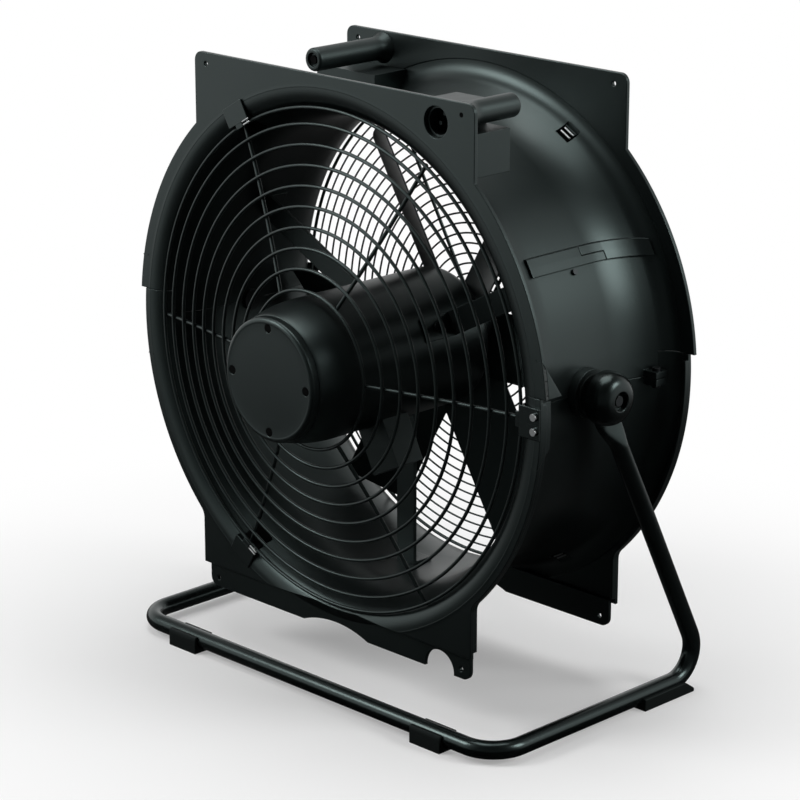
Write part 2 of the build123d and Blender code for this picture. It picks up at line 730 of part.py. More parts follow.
with BuildPart() as latch_screws:
    with BuildSketch(at(-half_depth)):
        with Locations((latch_screw_x, -latch_screw_rise), (latch_screw_x, latch_screw_rise)):
            Circle(latch_screw_r)
    extrude(amount=latch_t)
    with BuildSketch(at(-half_depth - latch_t)):
        with Locations((latch_screw_x, -latch_screw_rise), (latch_screw_x, latch_screw_rise)):
            Circle(latch_head_r)
    extrude(amount=latch_t)
latch_screws.part.label = "latch_screws"
export_step(latch_screws.part, "parts/latch_screws.step")

# ================================================================== motor
with BuildPart() as motor_body:
    with BuildSketch(radial_plane):
        with BuildLine():
            nose = TangentArc((motor_r, motor_front + motor_nose_l), (motor_nose_r, motor_front),
                              tangent=(0, -1))
            Polyline(nose @ 1, (bearing_r, motor_front), (bearing_r, motor_front + bearing_w),
                     (shaft_clear_r, motor_front + bearing_w), (shaft_clear_r, motor_front + 2 * bearing_w),
                     (motor_nose_r - motor_wall, motor_front + 2 * bearing_w),
                     (motor_r - motor_wall, motor_front + motor_nose_l),
                     (motor_r - motor_wall, motor_rear - 2 * bearing_w),
                     (shaft_clear_r, motor_rear - 2 * bearing_w),
                     (shaft_clear_r, motor_rear - bearing_w), (bearing_r, motor_rear - bearing_w),
                     (bearing_r, motor_rear), (motor_r, motor_rear), nose @ 0)
        make_face()
    revolve(axis=fan_axis)
    fillet(motor_body.edges().group_by(Axis.Y)[-1].sort_by(SortBy.RADIUS)[-1], motor_round)
    with BuildSketch(at(motor_front)):
        with PolarLocations(cap_screw_ring, 4):
            Circle(cap_screw_r)
    extrude(amount=-bearing_w, mode=Mode.SUBTRACT)
    for angle in strut_angles.values():
        with BuildSketch(outward_plane(strut_screw_depth, angle).offset(motor_r)):
            Circle(strut_bolt_r)
        extrude(amount=-bearing_w, mode=Mode.SUBTRACT)
motor_body.part.label = "motor_body"
export_step(motor_body.part, "parts/motor_body.step")

with BuildPart() as motor_cap:
    with BuildSketch(radial_plane):
        polygon([(0, motor_front), (cap_base_r, motor_front), (cap_base_r, (motor_front - cap_reach) / 2),
                 (cap_face_r, -cap_reach), (0, -cap_reach)])
    revolve(axis=fan_axis)
    with BuildSketch(at(motor_front)):
        with PolarLocations(cap_screw_ring, 4):
            Circle(cap_screw_r)
    extrude(amount=cap_t, mode=Mode.SUBTRACT)
    with BuildSketch(at(-cap_reach + cap_head_h)):
        with PolarLocations(cap_screw_ring, 4):
            Circle(cap_head_r)
    extrude(amount=cap_head_h, mode=Mode.SUBTRACT)
motor_cap.part.label = "motor_cap"
export_step(motor_cap.part, "parts/motor_cap.step")

with BuildPart() as cap_screws:
    with BuildSketch(at(motor_front + bearing_w)):
        with PolarLocations(cap_screw_ring, 4):
            Circle(cap_screw_r)
    extrude(amount=cap_t + bearing_w - cap_head_h)
    with BuildSketch(at(-cap_reach + cap_head_h)):
        with PolarLocations(cap_screw_ring, 4):
            Circle(cap_head_r)
    extrude(amount=cap_head_h - 0.3)
cap_screws.part.label = "cap_screws"
export_step(cap_screws.part, "parts/cap_screws.step")

for name, depth in (("front", motor_front + bearing_w), ("rear", motor_rear)):
    with BuildPart() as bearing:
        with BuildSketch(at(depth)):
            Circle(bearing_r)
            Circle(shaft_r + bearing_play, mode=Mode.SUBTRACT)
        extrude(amount=bearing_w)
    bearing.part.label = f"bearing_{name}"
    export_step(bearing.part, f"parts/bearing_{name}.step")

with BuildPart() as motor_wiring_box:
    with BuildSketch(at(motor_box_to)):
        with PolarLocations(0, 1, start_angle=motor_box_angle):
            Rectangle(motor_box_out_r, motor_box_w, align=(Align.MIN, Align.CENTER))
        Circle(motor_r, mode=Mode.SUBTRACT)
    extrude(amount=motor_box_to - motor_box_from)
motor_wiring_box.part.label = "motor_wiring_box"
export_step(motor_wiring_box.part, "parts/motor_wiring_box.step")

# ================================================================== motor struts and their bolts
strut_tab_r = motor_r + strut_foot_t
strut_foot_r = throat_r - strut_foot_t
for name, angle in strut_angles.items():
    with BuildPart() as strut:
        with BuildSketch(at(strut_depth + strut_t / 2)):
            ring_tabs(motor_r, throat_r, strut_w, [angle])
        extrude(amount=strut_t)
        with BuildSketch(at(strut_foot_rear)):
            ring_tabs(strut_foot_r, throat_r, strut_w, [angle])
        extrude(amount=strut_foot_rear - strut_depth)
        with BuildSketch(at(strut_depth)):
            ring_tabs(motor_r, strut_tab_r, strut_w, [angle])
        extrude(amount=strut_depth - strut_tab_front)
        for depth, start_r in ((strut_bolt_depth, strut_foot_r - 1), (strut_screw_depth, motor_r - 1)):
            with BuildSketch(outward_plane(depth, angle).offset(start_r)):
                Circle(strut_bolt_r)
            extrude(amount=2 * strut_foot_t, mode=Mode.SUBTRACT)
    strut.part.label = f"motor_strut_{name}"
    export_step(strut.part, f"parts/motor_strut_{name}.step")


def radial_bolts(depth, foot_from, head_from, head_to, head_r):
    """Three bolts that point out from the fan axis, one at each strut."""
    for angle in strut_angles.values():
        middle = outward_plane(depth, angle)
        with BuildSketch(middle.offset(foot_from)) as shank:
            Circle(strut_bolt_r)
        extrude(shank.sketch, amount=head_from - foot_from)
        with BuildSketch(middle.offset(head_from)) as head:
            Circle(head_r)
        extrude(head.sketch, amount=head_to - head_from)


with BuildPart() as strut_drum_bolts:
    radial_bolts(strut_bolt_depth, strut_foot_r, drum_r, drum_r + strut_bolt_head_h, strut_drum_head_r)
strut_drum_bolts.part.label = "strut_drum_bolts"
export_step(strut_drum_bolts.part, "parts/strut_drum_bolts.step")

with BuildPart() as strut_motor_bolts:
    radial_bolts(strut_screw_depth, motor_r - bearing_w, strut_tab_r, strut_tab_r + strut_bolt_head_h,
                 strut_bolt_head_r)
strut_motor_bolts.part.label = "strut_motor_bolts"
export_step(strut_motor_bolts.part, "parts/strut_motor_bolts.step")

# ================================================================== rotor


def hub_fill():
    """Outside of the hub as a solid section, down to the fan axis."""
    with BuildLine() as outline:
        rim = Line((hub_r, hub_front), (hub_r, hub_rear - hub_round))
        corner = JernArc(rim @ 1, (0, 1), hub_round, 90)
        Polyline(corner @ 1, (0, hub_rear), (0, hub_front), (hub_r, hub_front))
    make_face(outline.edges())


with BuildPart() as motor_shaft:
    with BuildSketch(at(shaft_rear)):
        Circle(shaft_r)
    extrude(amount=shaft_rear - shaft_front)
motor_shaft.part.label = "motor_shaft"
export_step(motor_shaft.part, "parts/motor_shaft.step")

with BuildPart() as impeller_hub:
    with BuildSketch(radial_plane):
        hub_fill()
    revolve(axis=fan_axis)
    with BuildSketch(at(hub_front)):
        Circle(hub_r - hub_wall)
        Circle(hub_boss_r, mode=Mode.SUBTRACT)
    extrude(amount=hub_front - hub_rear + hub_round, mode=Mode.SUBTRACT)
    with BuildSketch(at(hub_rear)):
        Circle(shaft_r)
    extrude(amount=hub_rear - hub_front, mode=Mode.SUBTRACT)
impeller_hub.part.label = "impeller_hub"
export_step(impeller_hub.part, "parts/impeller_hub.step")

with BuildPart() as hub_nut:
    with BuildSketch(at(hub_rear)):
        RegularPolygon(nut_across / 2, 6, major_radius=False)
        Circle(shaft_r, mode=Mode.SUBTRACT)
    extrude(amount=-nut_h)
hub_nut.part.label = "hub_nut"
export_step(hub_nut.part, "parts/hub_nut.step")


along = Vector(-cos(radians(blade_pitch)), sin(radians(blade_pitch)))
across = Vector(-sin(radians(blade_pitch)), -cos(radians(blade_pitch)))
half_t = across * (blade_t / 2)
half_c = along * (blade_chord / 2)
bow = across * blade_camber
with BuildPart() as blade_blank:
    with BuildSketch(Plane((blade_root_r, axis_y + blade_depth, axis_z - blade_shift), x_dir=(0, 0, 1),
                           z_dir=(1, 0, 0))):
        with BuildLine():
            low = ThreePointArc(half_c * -1 - half_t, bow - half_t, half_c - half_t)
            high = ThreePointArc(half_t - half_c, bow + half_t, half_c + half_t)
            Line(low @ 0, high @ 0)
            Line(low @ 1, high @ 1)
        make_face()
    extrude(amount=throat_r - blade_root_r)
    with BuildSketch(at(-half_depth)):
        Circle(blade_tip_r)
    extrude(amount=-2 * half_depth, mode=Mode.INTERSECT)
    with BuildSketch(radial_plane):
        hub_fill()
    revolve(axis=fan_axis, mode=Mode.SUBTRACT)
    with BuildSketch(at(motor_rear + blade_gap)):
        Circle(motor_r + blade_gap)
    extrude(amount=far, mode=Mode.SUBTRACT)
for k in range(blade_count):
    blade = blade_blank.part.rotate(fan_axis, -(blade_angle + 360 * k / blade_count))
    blade.label = f"blade_{k + 1}"
    export_step(blade, f"parts/blade_{k + 1}.step")

# ================================================================== pivots and knobs, a set on each side


def turned(points, hand):
    """Revolves a profile of (radius, x) points about the tilt axis, on the right (1) or the left (-1)."""
    with BuildSketch(tilt_plane) as profile:
        polygon([(radius, hand * x) for radius, x in points])
    revolve(profile.sketch, axis=tilt_axis)


for name, hand in (("right", 1), ("left", -1)):
    with BuildPart() as pivot_boss:
        turned([(stud_r, throat_r), (boss_r, throat_r), (boss_r, boss_out), (stud_r, boss_out)], hand)
        with BuildSketch(radial_plane):
            filled_section(wall_t)
        revolve(axis=fan_axis, mode=Mode.SUBTRACT)
    pivot_boss.part.label = f"pivot_boss_{name}"
    export_step(pivot_boss.part, f"parts/pivot_boss_{name}.step")

    with BuildPart() as friction_washer:
        turned([(stud_r, boss_out), (washer_r, boss_out), (washer_r, washer_out), (stud_r, washer_out)], hand)
    friction_washer.part.label = f"friction_washer_{name}"
    export_step(friction_washer.part, f"parts/friction_washer_{name}.step")

    with BuildPart() as pivot_stud:
        turned([(0, stud_head_in), (stud_head_r, stud_head_in), (stud_head_r, stud_head_out),
                (stud_r, stud_head_out), (stud_r, stud_end), (stud_screw_r, stud_end),
                (stud_screw_r, stud_end - stud_screw_l), (0, stud_end - stud_screw_l)], hand)
    pivot_stud.part.label = f"pivot_stud_{name}"
    export_step(pivot_stud.part, f"parts/pivot_stud_{name}.step")

    with BuildPart() as knob:
        with BuildSketch(tilt_plane):
            with BuildLine():
                dome = ThreePointArc((knob_r, hand * knob_rim), (knob_dome_r, hand * knob_dome_mid),
                                     (knob_crown_r, hand * knob_out))
                Polyline(dome @ 1, (knob_recess_r, hand * knob_out), (knob_recess_r, hand * knob_floor),
                         (knob_screw_r, hand * knob_floor), (knob_screw_r, hand * knob_bore_end),
                         (knob_bore_r, hand * knob_bore_end), (knob_bore_r, hand * knob_in),
                         (knob_r, hand * knob_in), dome @ 0)
            make_face()
        revolve(axis=tilt_axis)
    knob.part.label = f"knob_{name}"
    export_step(knob.part, f"parts/knob_{name}.step")

with BuildPart() as stud_screws:
    for hand in (1, -1):
        seat = knob_floor + end_gap
        turned([(0, stud_end - stud_screw_l), (stud_screw_r, stud_end - stud_screw_l), (stud_screw_r, seat),
                (stud_screw_head_r, seat), (stud_screw_head_r, seat + stud_screw_head_h),
                (0, seat + stud_screw_head_h)], hand)
stud_screws.part.label = "stud_screws"
export_step(stud_screws.part, "parts/stud_screws.step")

# ================================================================== stand


def bend(before, corner, after, radius):
    """Start, middle and end of a tube bend of this radius at a corner."""
    back = (before - corner).normalized()
    ahead = (after - corner).normalized()
    half = radians(back.get_angle(ahead) / 2)
    inward = (back + ahead).normalized()
    centre = corner + inward * (radius / sin(half))
    run = radius / tan(half)
    return corner + back * run, centre - inward * radius, corner + ahead * run


pivots = [Vector(hand * stand_half_w, axis_y, axis_z) for hand in (1, -1)]
rear_corners = [Vector(hand * stand_half_w, axis_y + rear_corner, tube_z) for hand in (1, -1)]
front_corners = [Vector(hand * stand_half_w, axis_y + front_bar, tube_z) for hand in (1, -1)]
route = [pivots[0] + arm_dir * round_start, rear_corners[0], front_corners[0], front_corners[1],
         rear_corners[1], pivots[1] + arm_dir * round_start]
bend_radii = [rear_bend_r, front_bend_r, front_bend_r, rear_bend_r]

with BuildPart() as stand_frame:
    with BuildLine():
        here = route[0]
        for k, radius in enumerate(bend_radii):
            start, middle, end = bend(route[k], route[k + 1], route[k + 2], radius)
            Line(here, start)
            ThreePointArc(start, middle, end)
            here = end
        Line(here, route[-1])
    with BuildSketch(Plane(route[0], z_dir=arm_dir)):
        Circle(tube_r)
    sweep()
    for hand in (1, -1):
        flat_x = hand * (flat_in + flat_t / 2)
        round_end = Vector(hand * stand_half_w, axis_y, axis_z) + arm_dir * round_start
        flat_end = Vector(flat_x, axis_y, axis_z) + arm_dir * flat_start
        with BuildSketch(Plane(round_end, x_dir=(1, 0, 0), z_dir=arm_dir * -1)):
            Circle(tube_r)
        with BuildSketch(Plane(flat_end, x_dir=(1, 0, 0), z_dir=arm_dir * -1)):
            RectangleRounded(flat_t, flat_w, flat_corner_r)
        loft()
        with BuildSketch(Plane(flat_end, x_dir=(1, 0, 0), z_dir=arm_dir * -1)):
            RectangleRounded(flat_t, flat_w, flat_corner_r)
        extrude(amount=flat_start)
        with BuildSketch(side(flat_x - flat_t / 2)):
            Circle(flat_w / 2)
        extrude(amount=flat_t)
        with BuildSketch(side(flat_x - flat_t)):
            Circle(stud_r + stud_play)
        extrude(amount=2 * flat_t, mode=Mode.SUBTRACT)
stand_frame.part.label = "stand_frame"
export_step(stand_frame.part, "parts/stand_frame.step")

for name, hand in (("right", 1), ("left", -1)):
    with BuildPart() as front_foot:
        with BuildSketch(side(hand * front_foot_x - front_foot_l / 2)):
            with Locations((front_bar, tube_z - axis_z)):
                Circle(front_foot_r)
                Rectangle(2 * front_foot_r, tube_z, align=(Align.CENTER, Align.MAX))
                with Locations((0, front_foot_lip + front_foot_r / 2)):
                    Rectangle(2 * front_foot_r, front_foot_r, mode=Mode.SUBTRACT)
                Circle(tube_r, mode=Mode.SUBTRACT)
        extrude(amount=front_foot_l)
    front_foot.part.label = f"front_foot_{name}"
    export_step(front_foot.part, f"parts/front_foot_{name}.step")

    with BuildPart() as rear_foot:
        with BuildSketch(side(hand * stand_half_w - rear_foot_w / 2)):
            polygon([(rear_foot_from, -axis_z), (rear_foot_to, -axis_z),
                     (rear_foot_to, foot_under - axis_z), (rear_foot_to - rear_foot_h, rear_foot_h - axis_z),
                     (rear_foot_from, rear_foot_h - axis_z)])
        extrude(amount=rear_foot_w)
        add(stand_frame.part, mode=Mode.SUBTRACT)
    rear_foot.part.label = f"rear_foot_{name}"
    export_step(rear_foot.part, f"parts/rear_foot_{name}.step")
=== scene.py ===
# %% [markdown]
# # A drum fan on a bent tube stand
# A drum fan is a short duct with an axial fan in it. Two black half shells make the duct, wire guards
# close both ends, and the head tilts between the arms of a stand bent from one steel tube.
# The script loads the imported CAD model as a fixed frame, finishes every piece and builds anew, in the
# same place and at the same size, the pieces whose looks need more than the CAD solid has.

# %% load the frame
import json
import math
from functools import partial
import bmesh
import bpy
from mathutils import Matrix, Vector


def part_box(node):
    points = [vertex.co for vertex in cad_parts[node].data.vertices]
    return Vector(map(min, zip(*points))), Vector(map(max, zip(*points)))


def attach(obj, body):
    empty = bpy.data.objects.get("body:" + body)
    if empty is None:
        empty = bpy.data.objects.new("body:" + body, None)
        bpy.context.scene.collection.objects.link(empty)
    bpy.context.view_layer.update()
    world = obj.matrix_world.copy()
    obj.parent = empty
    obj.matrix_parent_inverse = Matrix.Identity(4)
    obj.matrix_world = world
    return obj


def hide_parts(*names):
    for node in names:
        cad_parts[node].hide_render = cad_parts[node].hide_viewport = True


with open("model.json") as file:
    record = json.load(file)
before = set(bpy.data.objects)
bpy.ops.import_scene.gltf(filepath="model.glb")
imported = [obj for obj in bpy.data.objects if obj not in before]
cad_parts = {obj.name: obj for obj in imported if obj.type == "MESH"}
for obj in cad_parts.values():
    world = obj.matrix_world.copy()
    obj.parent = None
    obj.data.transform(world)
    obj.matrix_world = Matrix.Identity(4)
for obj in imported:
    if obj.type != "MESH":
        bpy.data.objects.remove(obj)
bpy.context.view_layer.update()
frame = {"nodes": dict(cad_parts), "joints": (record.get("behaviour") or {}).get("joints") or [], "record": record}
NODES = frame["nodes"]
MM = 0.001
TILT = next(joint for joint in frame["joints"] if joint["name"] == "tilt")
PIVOT = Vector(TILT["pos_m"])

# %% [markdown]
# ## Camera
# The photograph was taken from the front right, a little above the fan, with a long lens that keeps
# parallel edges nearly parallel. Angles and distance come from fitting the plates, the guard rings and
# the stand to the picture, so the camera needs no shift.

# %% camera
CAMERA_AZIMUTH = 45.20
CAMERA_ELEVATION = 17.23
CAMERA_LENS = 131.68
CAMERA_PLACE = (1979.5 * MM, -1976.4 * MM + PIVOT.y, 807.5 * MM + PIVOT.z)


def new_object(name, data):
    """A new object in the scene."""
    made = bpy.data.objects.new(name, data)
    bpy.context.scene.collection.objects.link(made)
    return made


def make_camera():
    """The camera of the photograph, looking at the fan from its front right."""
    camera = new_object("camera", bpy.data.cameras.new("camera"))
    camera.location = CAMERA_PLACE
    camera.rotation_euler = (math.radians(90 - CAMERA_ELEVATION), 0, math.radians(CAMERA_AZIMUTH))
    camera.data.lens = CAMERA_LENS
    camera.data.sensor_width = 36
    camera.data.clip_end = 50
    bpy.context.scene.camera = camera
    return camera


print("camera at", tuple(round(v, 4) for v in make_camera().location))

# %% [markdown]
# ## Helpers for materials
# A colour is picked from the screen as sRGB hex, but the shader works in linear light, so one function
# turns hex to linear. Another adds any node with its settings and its links in one line, for materials
# and for geometry, so that a tree reads from top to bottom as it works.


# %% colour and node helpers
def linear(hex_colour):
    """Linear RGBA of an sRGB hex colour."""
    channels = [int(hex_colour[i:i + 2], 16) / 255 for i in (1, 3, 5)]
    return [c / 12.92 if c <= 0.04045 else ((c + 0.055) / 1.055) ** 2.4 for c in channels] + [1.0]


def fill(node, **inputs):
    """Fills inputs, by name or by i and number, with values, sockets or the first output of nodes."""
    for name, value in inputs.items():
        numbered = name[0] == "i" and name[1:].isdigit()
        socket = node.inputs[int(name[1:]) if numbered else name.replace("_", " ")]
        if isinstance(value, bpy.types.Node):
            value = value.outputs[0]
        if isinstance(value, bpy.types.NodeSocket):
            node.id_data.links.new(value, socket)
        else:
            socket.default_value = value
    return node


def add_node(tree, kind, settings=None, **inputs):
    """Adds a node with its settings and fills its inputs."""
    node = tree.nodes.new(kind)
    for name, value in (settings or {}).items():
        setattr(node, name, value)
    return fill(node, **inputs)


def new_material(name):
    """An empty node material, its tree and its shader."""
    material = bpy.data.materials.new(name)
    material.use_nodes = True
    return material, material.node_tree, material.node_tree.nodes["Principled BSDF"]


# %% [markdown]
# ## Finishes
# Nearly everything is black, so the eye tells the pieces apart by gloss and grain only. The steel shells
# wear a satin powder coat: sprayed as dust and melted on, it flows into a faint orange peel with a cell
# of about 2 mm. Edges catch a thin light line because no real edge is sharp, so a Bevel node rounds the
# shading of every corner by about a millimetre.


# %% coated steel
COOL_SHEEN = linear("#e2fffc")  # the coats mirror the room slightly cool
CLOUD_MM = 60  # the gloss of a sprayed coat drifts over patches of this size


def worn(name, colour, cloud_mm, detail, dull, duller, edge_mm):
    """A material of one colour whose roughness wanders between two values and whose edges are eased."""
    material, tree, shader = new_material(name)
    spot = add_node(tree, "ShaderNodeTexCoord").outputs["Object"]
    cloud = add_node(tree, "ShaderNodeTexNoise", Vector=spot, Scale=1 / (cloud_mm * MM), Detail=detail)
    gloss = add_node(tree, "ShaderNodeMapRange", Value=cloud, To_Min=dull, To_Max=duller)
    edge = add_node(tree, "ShaderNodeBevel", {"samples": 6}, Radius=edge_mm * MM)
    fill(shader, Base_Color=linear(colour), Roughness=gloss, Normal=edge)
    return material, tree, shader, spot, cloud, edge


def covered(shader, edge, height, height_mm, strength, ior, specular):
    """Lays a fine relief over the eased edges and says how strongly the surface mirrors the room."""
    bump = add_node(shader.id_data, "ShaderNodeBump", Height=height, Distance=height_mm * MM,
                    Strength=strength, Normal=edge)
    fill(shader, Normal=bump, IOR=ior, Specular_IOR_Level=specular, Specular_Tint=COOL_SHEEN)


def coated_steel(name, colour, roughness, peel_mm, peel_height_mm, edge_mm, specular):
    """Powder-coated steel: an even colour, a soft orange peel and slightly uneven gloss."""
    material, tree, shader, spot, cloud, edge = worn(
        name, colour, CLOUD_MM, 3.0, roughness - 0.06, roughness + 0.06, edge_mm)
    peel = add_node(tree, "ShaderNodeTexNoise", Vector=spot, Scale=1 / (peel_mm * MM), Detail=2.0)
    thicker = [c * 1.25 for c in linear(colour)[:3]] + [1.0]
    tone = add_node(tree, "ShaderNodeMix", {"data_type": "RGBA"}, i0=cloud, i6=linear(colour), i7=thicker)
    fill(shader, Base_Color=tone.outputs[2])
    covered(shader, edge, peel, peel_height_mm, 1.0, 1.5, specular)
    return material


# Shells, straps and motor: sprayed satin powder, which softens the room to broad grey planes.
SATIN_BLACK = coated_steel("satin_black_powder_coat", "#0a0d0d", 0.36, 2.2, 0.03, 0.9, 0.5)
# Stand tube and latch: powder that flowed out smoother, so the tube carries one sharp line of light.
GLOSS_BLACK = coated_steel("gloss_black_powder_coat", "#060808", 0.25, 2.6, 0.04, 0.8, 0.5)
# Guards: a thin dipped coat, which leaves a small soft glint along each wire.
WIRE_COAT = coated_steel("black_coated_wire", "#0e1111", 0.36, 1.2, 0.02, 0.4, 0.5)
# Blades and hub: baked enamel that mirrors a little less, so they stay dark behind the guard.
BLADE_COAT = coated_steel("blade_black_enamel", "#0a0d0d", 0.36, 1.8, 0.02, 0.5, 0.45)
print("coats", [m.name for m in (SATIN_BLACK, GLOSS_BLACK, WIRE_COAT, BLADE_COAT)])

# %% [markdown]
# Mouldings such as the posts, boxes and knobs are ABS with a spark-eroded grain. It breaks the highlight
# up, so they look softer than the coated steel beside them. Feet are rubber, duller still.
# Screws are plated steel: a metal, so its colour is in the reflection. Most are blackened, the ones that
# are sunk in a seat are coloured near black as painted shade of their seat, and the springs and the latch's screws
# are bright.


# %% mouldings, rubber and zinc
GRAIN_MM = 0.8  # the real grain is about 0.4 mm: too fine for the picture, so it is drawn twice as coarse
FLOW_MM = 25  # the gloss of a moulding drifts with the flow of the melt
PLATE_MM = 1.5  # the real grain of plating is finer than a pixel, so it is drawn as coarse as it shows


def grained_abs(name, colour, roughness, edge_mm, specular):
    """Injection-moulded ABS or rubber with a fine spark-eroded grain."""
    material, tree, shader, spot, _, edge = worn(
        name, colour, FLOW_MM, 3.0, roughness - 0.05, roughness + 0.07, edge_mm)
    grain = add_node(tree, "ShaderNodeTexVoronoi", Vector=spot, Scale=1 / (GRAIN_MM * MM))
    covered(shader, edge, grain, 0.03, 0.6, 1.53, specular)
    return material


def zinc_plate(name, colour, roughness):
    """Plated steel with a faint grain."""
    material, _, shader, *_ = worn(name, colour, PLATE_MM, 2.0, roughness - 0.08, roughness + 0.1, 0.3)
    fill(shader, Metallic=1.0)
    return material


# Posts and boxes: grained ABS, whose highlights spread to a dull glow.
MOULDED_ABS = grained_abs("grained_black_abs", "#0b0e0e", 0.42, 0.8, 0.45)
# Knobs: ABS from a smoother mould, which shows one soft spot of light on a very dark ball.
KNOB_ABS = grained_abs("smooth_black_abs", "#050606", 0.24, 0.8, 0.35)
# Feet: moulded rubber, almost without a highlight.
FOOT_RUBBER = grained_abs("foot_rubber", "#0a0b0b", 0.62, 1.2, 0.2)
# Springs and latch screws: bright zinc plate, the only pale metal on the fan.
ZINC = zinc_plate("bright_zinc_plate", "#b9bdbd", 0.34)
# All other bare steel, such as bolts, shaft and studs: black oxide, dark with a faint gleam.
BLACK_ZINC = zinc_plate("black_oxide_steel", "#3a3d3e", 0.38)
# Screws sunk in a seat and the pockets behind the windows: near black and rough, the painted shade of a hole.
PAINTED_SHADE_BLACK = zinc_plate("painted_shade_black", "#070808", 0.6)
print("others", [m.name for m in (MOULDED_ABS, KNOB_ABS, FOOT_RUBBER, ZINC, BLACK_ZINC, PAINTED_SHADE_BLACK)])

# %% finishes of the CAD nodes, whose meshes stay as they are
SLOT_FINISH = {"black_powder_coat": SATIN_BLACK, "tube_powder_coat": GLOSS_BLACK,
               "grey_powder_coat": WIRE_COAT, "black_plastic": MOULDED_ABS, "grey_blade_metal": BLADE_COAT,
               "zinc_steel": BLACK_ZINC, "black_rubber": FOOT_RUBBER}
# The sunk cap and post screws take the near black of painted shade in their seats.
OWN_FINISH = {"knob_right": KNOB_ABS, "knob_left": KNOB_ABS, "cap_screws": PAINTED_SHADE_BLACK,
              "post_screws": PAINTED_SHADE_BLACK, "guard_latch": GLOSS_BLACK, "latch_screws": ZINC}
for part in frame["record"]["subparts"]:
    mesh = NODES[part["node"]].data
    mesh.materials.clear()
    mesh.materials.append(OWN_FINISH.get(part["node"], SLOT_FINISH[part["material_slot"]]))
print("CAD nodes finished", len(NODES))

# %% [markdown]
# ## Helpers for meshes
# A maker measures the fan from the tilt pivot, which is also on the fan's axis: x to the right, depth to
# the back and rise upwards, in millimetres. One function turns those into Blender's metres. Round parts
# are a profile turned about an axis, as on a lathe; flat sheet parts are an outline drawn with arcs and
# filled. Both give real rounded edges, which is what catches the light on black paint.


# %% places, lathe and finished pieces
def place(x, depth, rise):
    """A point measured from the tilt pivot in millimetres, as a place in metres."""
    return PIVOT + Vector((x, depth, rise)) * MM


def arc(centre, radius, start, stop, steps):
    """Points of an arc round a centre, angles in degrees."""
    turns = [math.radians(start + (stop - start) * k / steps) for k in range(steps + 1)]
    return [(centre[0] + radius * math.cos(t), centre[1] + radius * math.sin(t)) for t in turns]


def rounded(points, radius, steps=5):
    """A closed outline with each corner replaced by a curve that starts this far from it."""
    smooth = []
    for k, corner in enumerate(points):
        here = Vector(corner)
        back = Vector(points[k - 1]) - here
        ahead = Vector(points[(k + 1) % len(points)]) - here
        reach = min(radius, back.length / 2.01, ahead.length / 2.01)
        start, end = here + back.normalized() * reach, here + ahead.normalized() * reach
        for step in range(steps + 1):
            t = step / steps
            smooth.append(tuple(start * (1 - t) ** 2 + here * 2 * t * (1 - t) + end * t ** 2))
    return smooth


def turn(profile, mesh=None, axis="fan", segments=128, hand=1, centre=(0, 0)):
    """Turns a closed profile of (radius, distance along the axis) in millimetres into a ring of faces."""
    mesh = mesh or bmesh.new()
    rings = []
    for k in range(segments):
        a = 2 * math.pi * k / segments
        c, s = math.cos(a), math.sin(a)
        if axis == "fan":
            ring = [place(centre[0] + r * c, y, centre[1] + r * s) for r, y in profile]
        else:
            ring = [place(hand * x, r * c, r * s) for r, x in profile]
        rings.append([mesh.verts.new(spot) for spot in ring])
    for ring, following in zip(rings, rings[1:] + rings[:1]):
        for i in range(len(profile)):
            j = (i + 1) % len(profile)
            if profile[i][0] > 0 or profile[j][0] > 0:
                mesh.faces.new((ring[i], ring[j], following[j], following[i]))
    return mesh


def spun(angle):
    """Turns something about the fan axis, from three o'clock up to this angle in degrees."""
    centre = Matrix.Translation(PIVOT)
    return centre @ Matrix.Rotation(-math.radians(angle), 4, "Y") @ centre.inverted()


def evaluated(thing):
    """The plain mesh of an object with its modifiers or its curve worked out."""
    return bpy.data.meshes.new_from_object(thing.evaluated_get(bpy.context.evaluated_depsgraph_get()))


SIDEWAYS = Matrix(((0, 0, 1, 0), (1, 0, 0, 0), (0, 1, 0, 0), (0, 0, 0, 1)))  # x becomes depth
UPRIGHT = Matrix.Rotation(math.pi / 2, 4, "X")


def sheet(mesh, outline, face, back, edge, holes=(), spin=0.0, along_x=False):
    """Fills a round-edged outline: (x, rise) between two depths, or (depth, rise) between two x."""
    curve = bpy.data.curves.new("outline", "CURVE")
    curve.dimensions = "2D"
    curve.fill_mode = "BOTH"
    for points in (outline, *holes):
        spline = curve.splines.new("POLY")
        spline.points.add(len(points) - 1)
        spline.use_cyclic_u = True
        for point, (x, z) in zip(spline.points, points):
            point.co = (x * MM, z * MM, 0, 1)
    curve.bevel_depth = edge * MM
    curve.bevel_resolution = 2
    curve.offset = -edge * MM
    curve.extrude = abs(back - face) / 2 * MM - edge * MM
    flat = new_object("outline", curve)
    filled = evaluated(flat)
    middle = (face + back) / 2
    if along_x:
        filled.transform(Matrix.Translation(place(middle, 0, 0)) @ SIDEWAYS)
    else:
        filled.transform(spun(spin) @ Matrix.Translation(place(0, middle, 0)) @ UPRIGHT)
    mesh.from_mesh(filled)
    bpy.data.objects.remove(flat)


WELD_MM = 0.004  # points nearer than this are one


def finished(name, mesh, body, nodes, material, crease=32):
    """Makes a bmesh a piece: welded, turned right side out and smooth between its creases."""
    bmesh.ops.remove_doubles(mesh, verts=mesh.verts, dist=WELD_MM * MM)
    bmesh.ops.dissolve_degenerate(mesh, edges=mesh.edges, dist=1e-7)
    bmesh.ops.recalc_face_normals(mesh, faces=mesh.faces)
    data = bpy.data.meshes.new(name)
    mesh.to_mesh(data)
    mesh.free()
    dressed(name, data, body, nodes, material, crease)


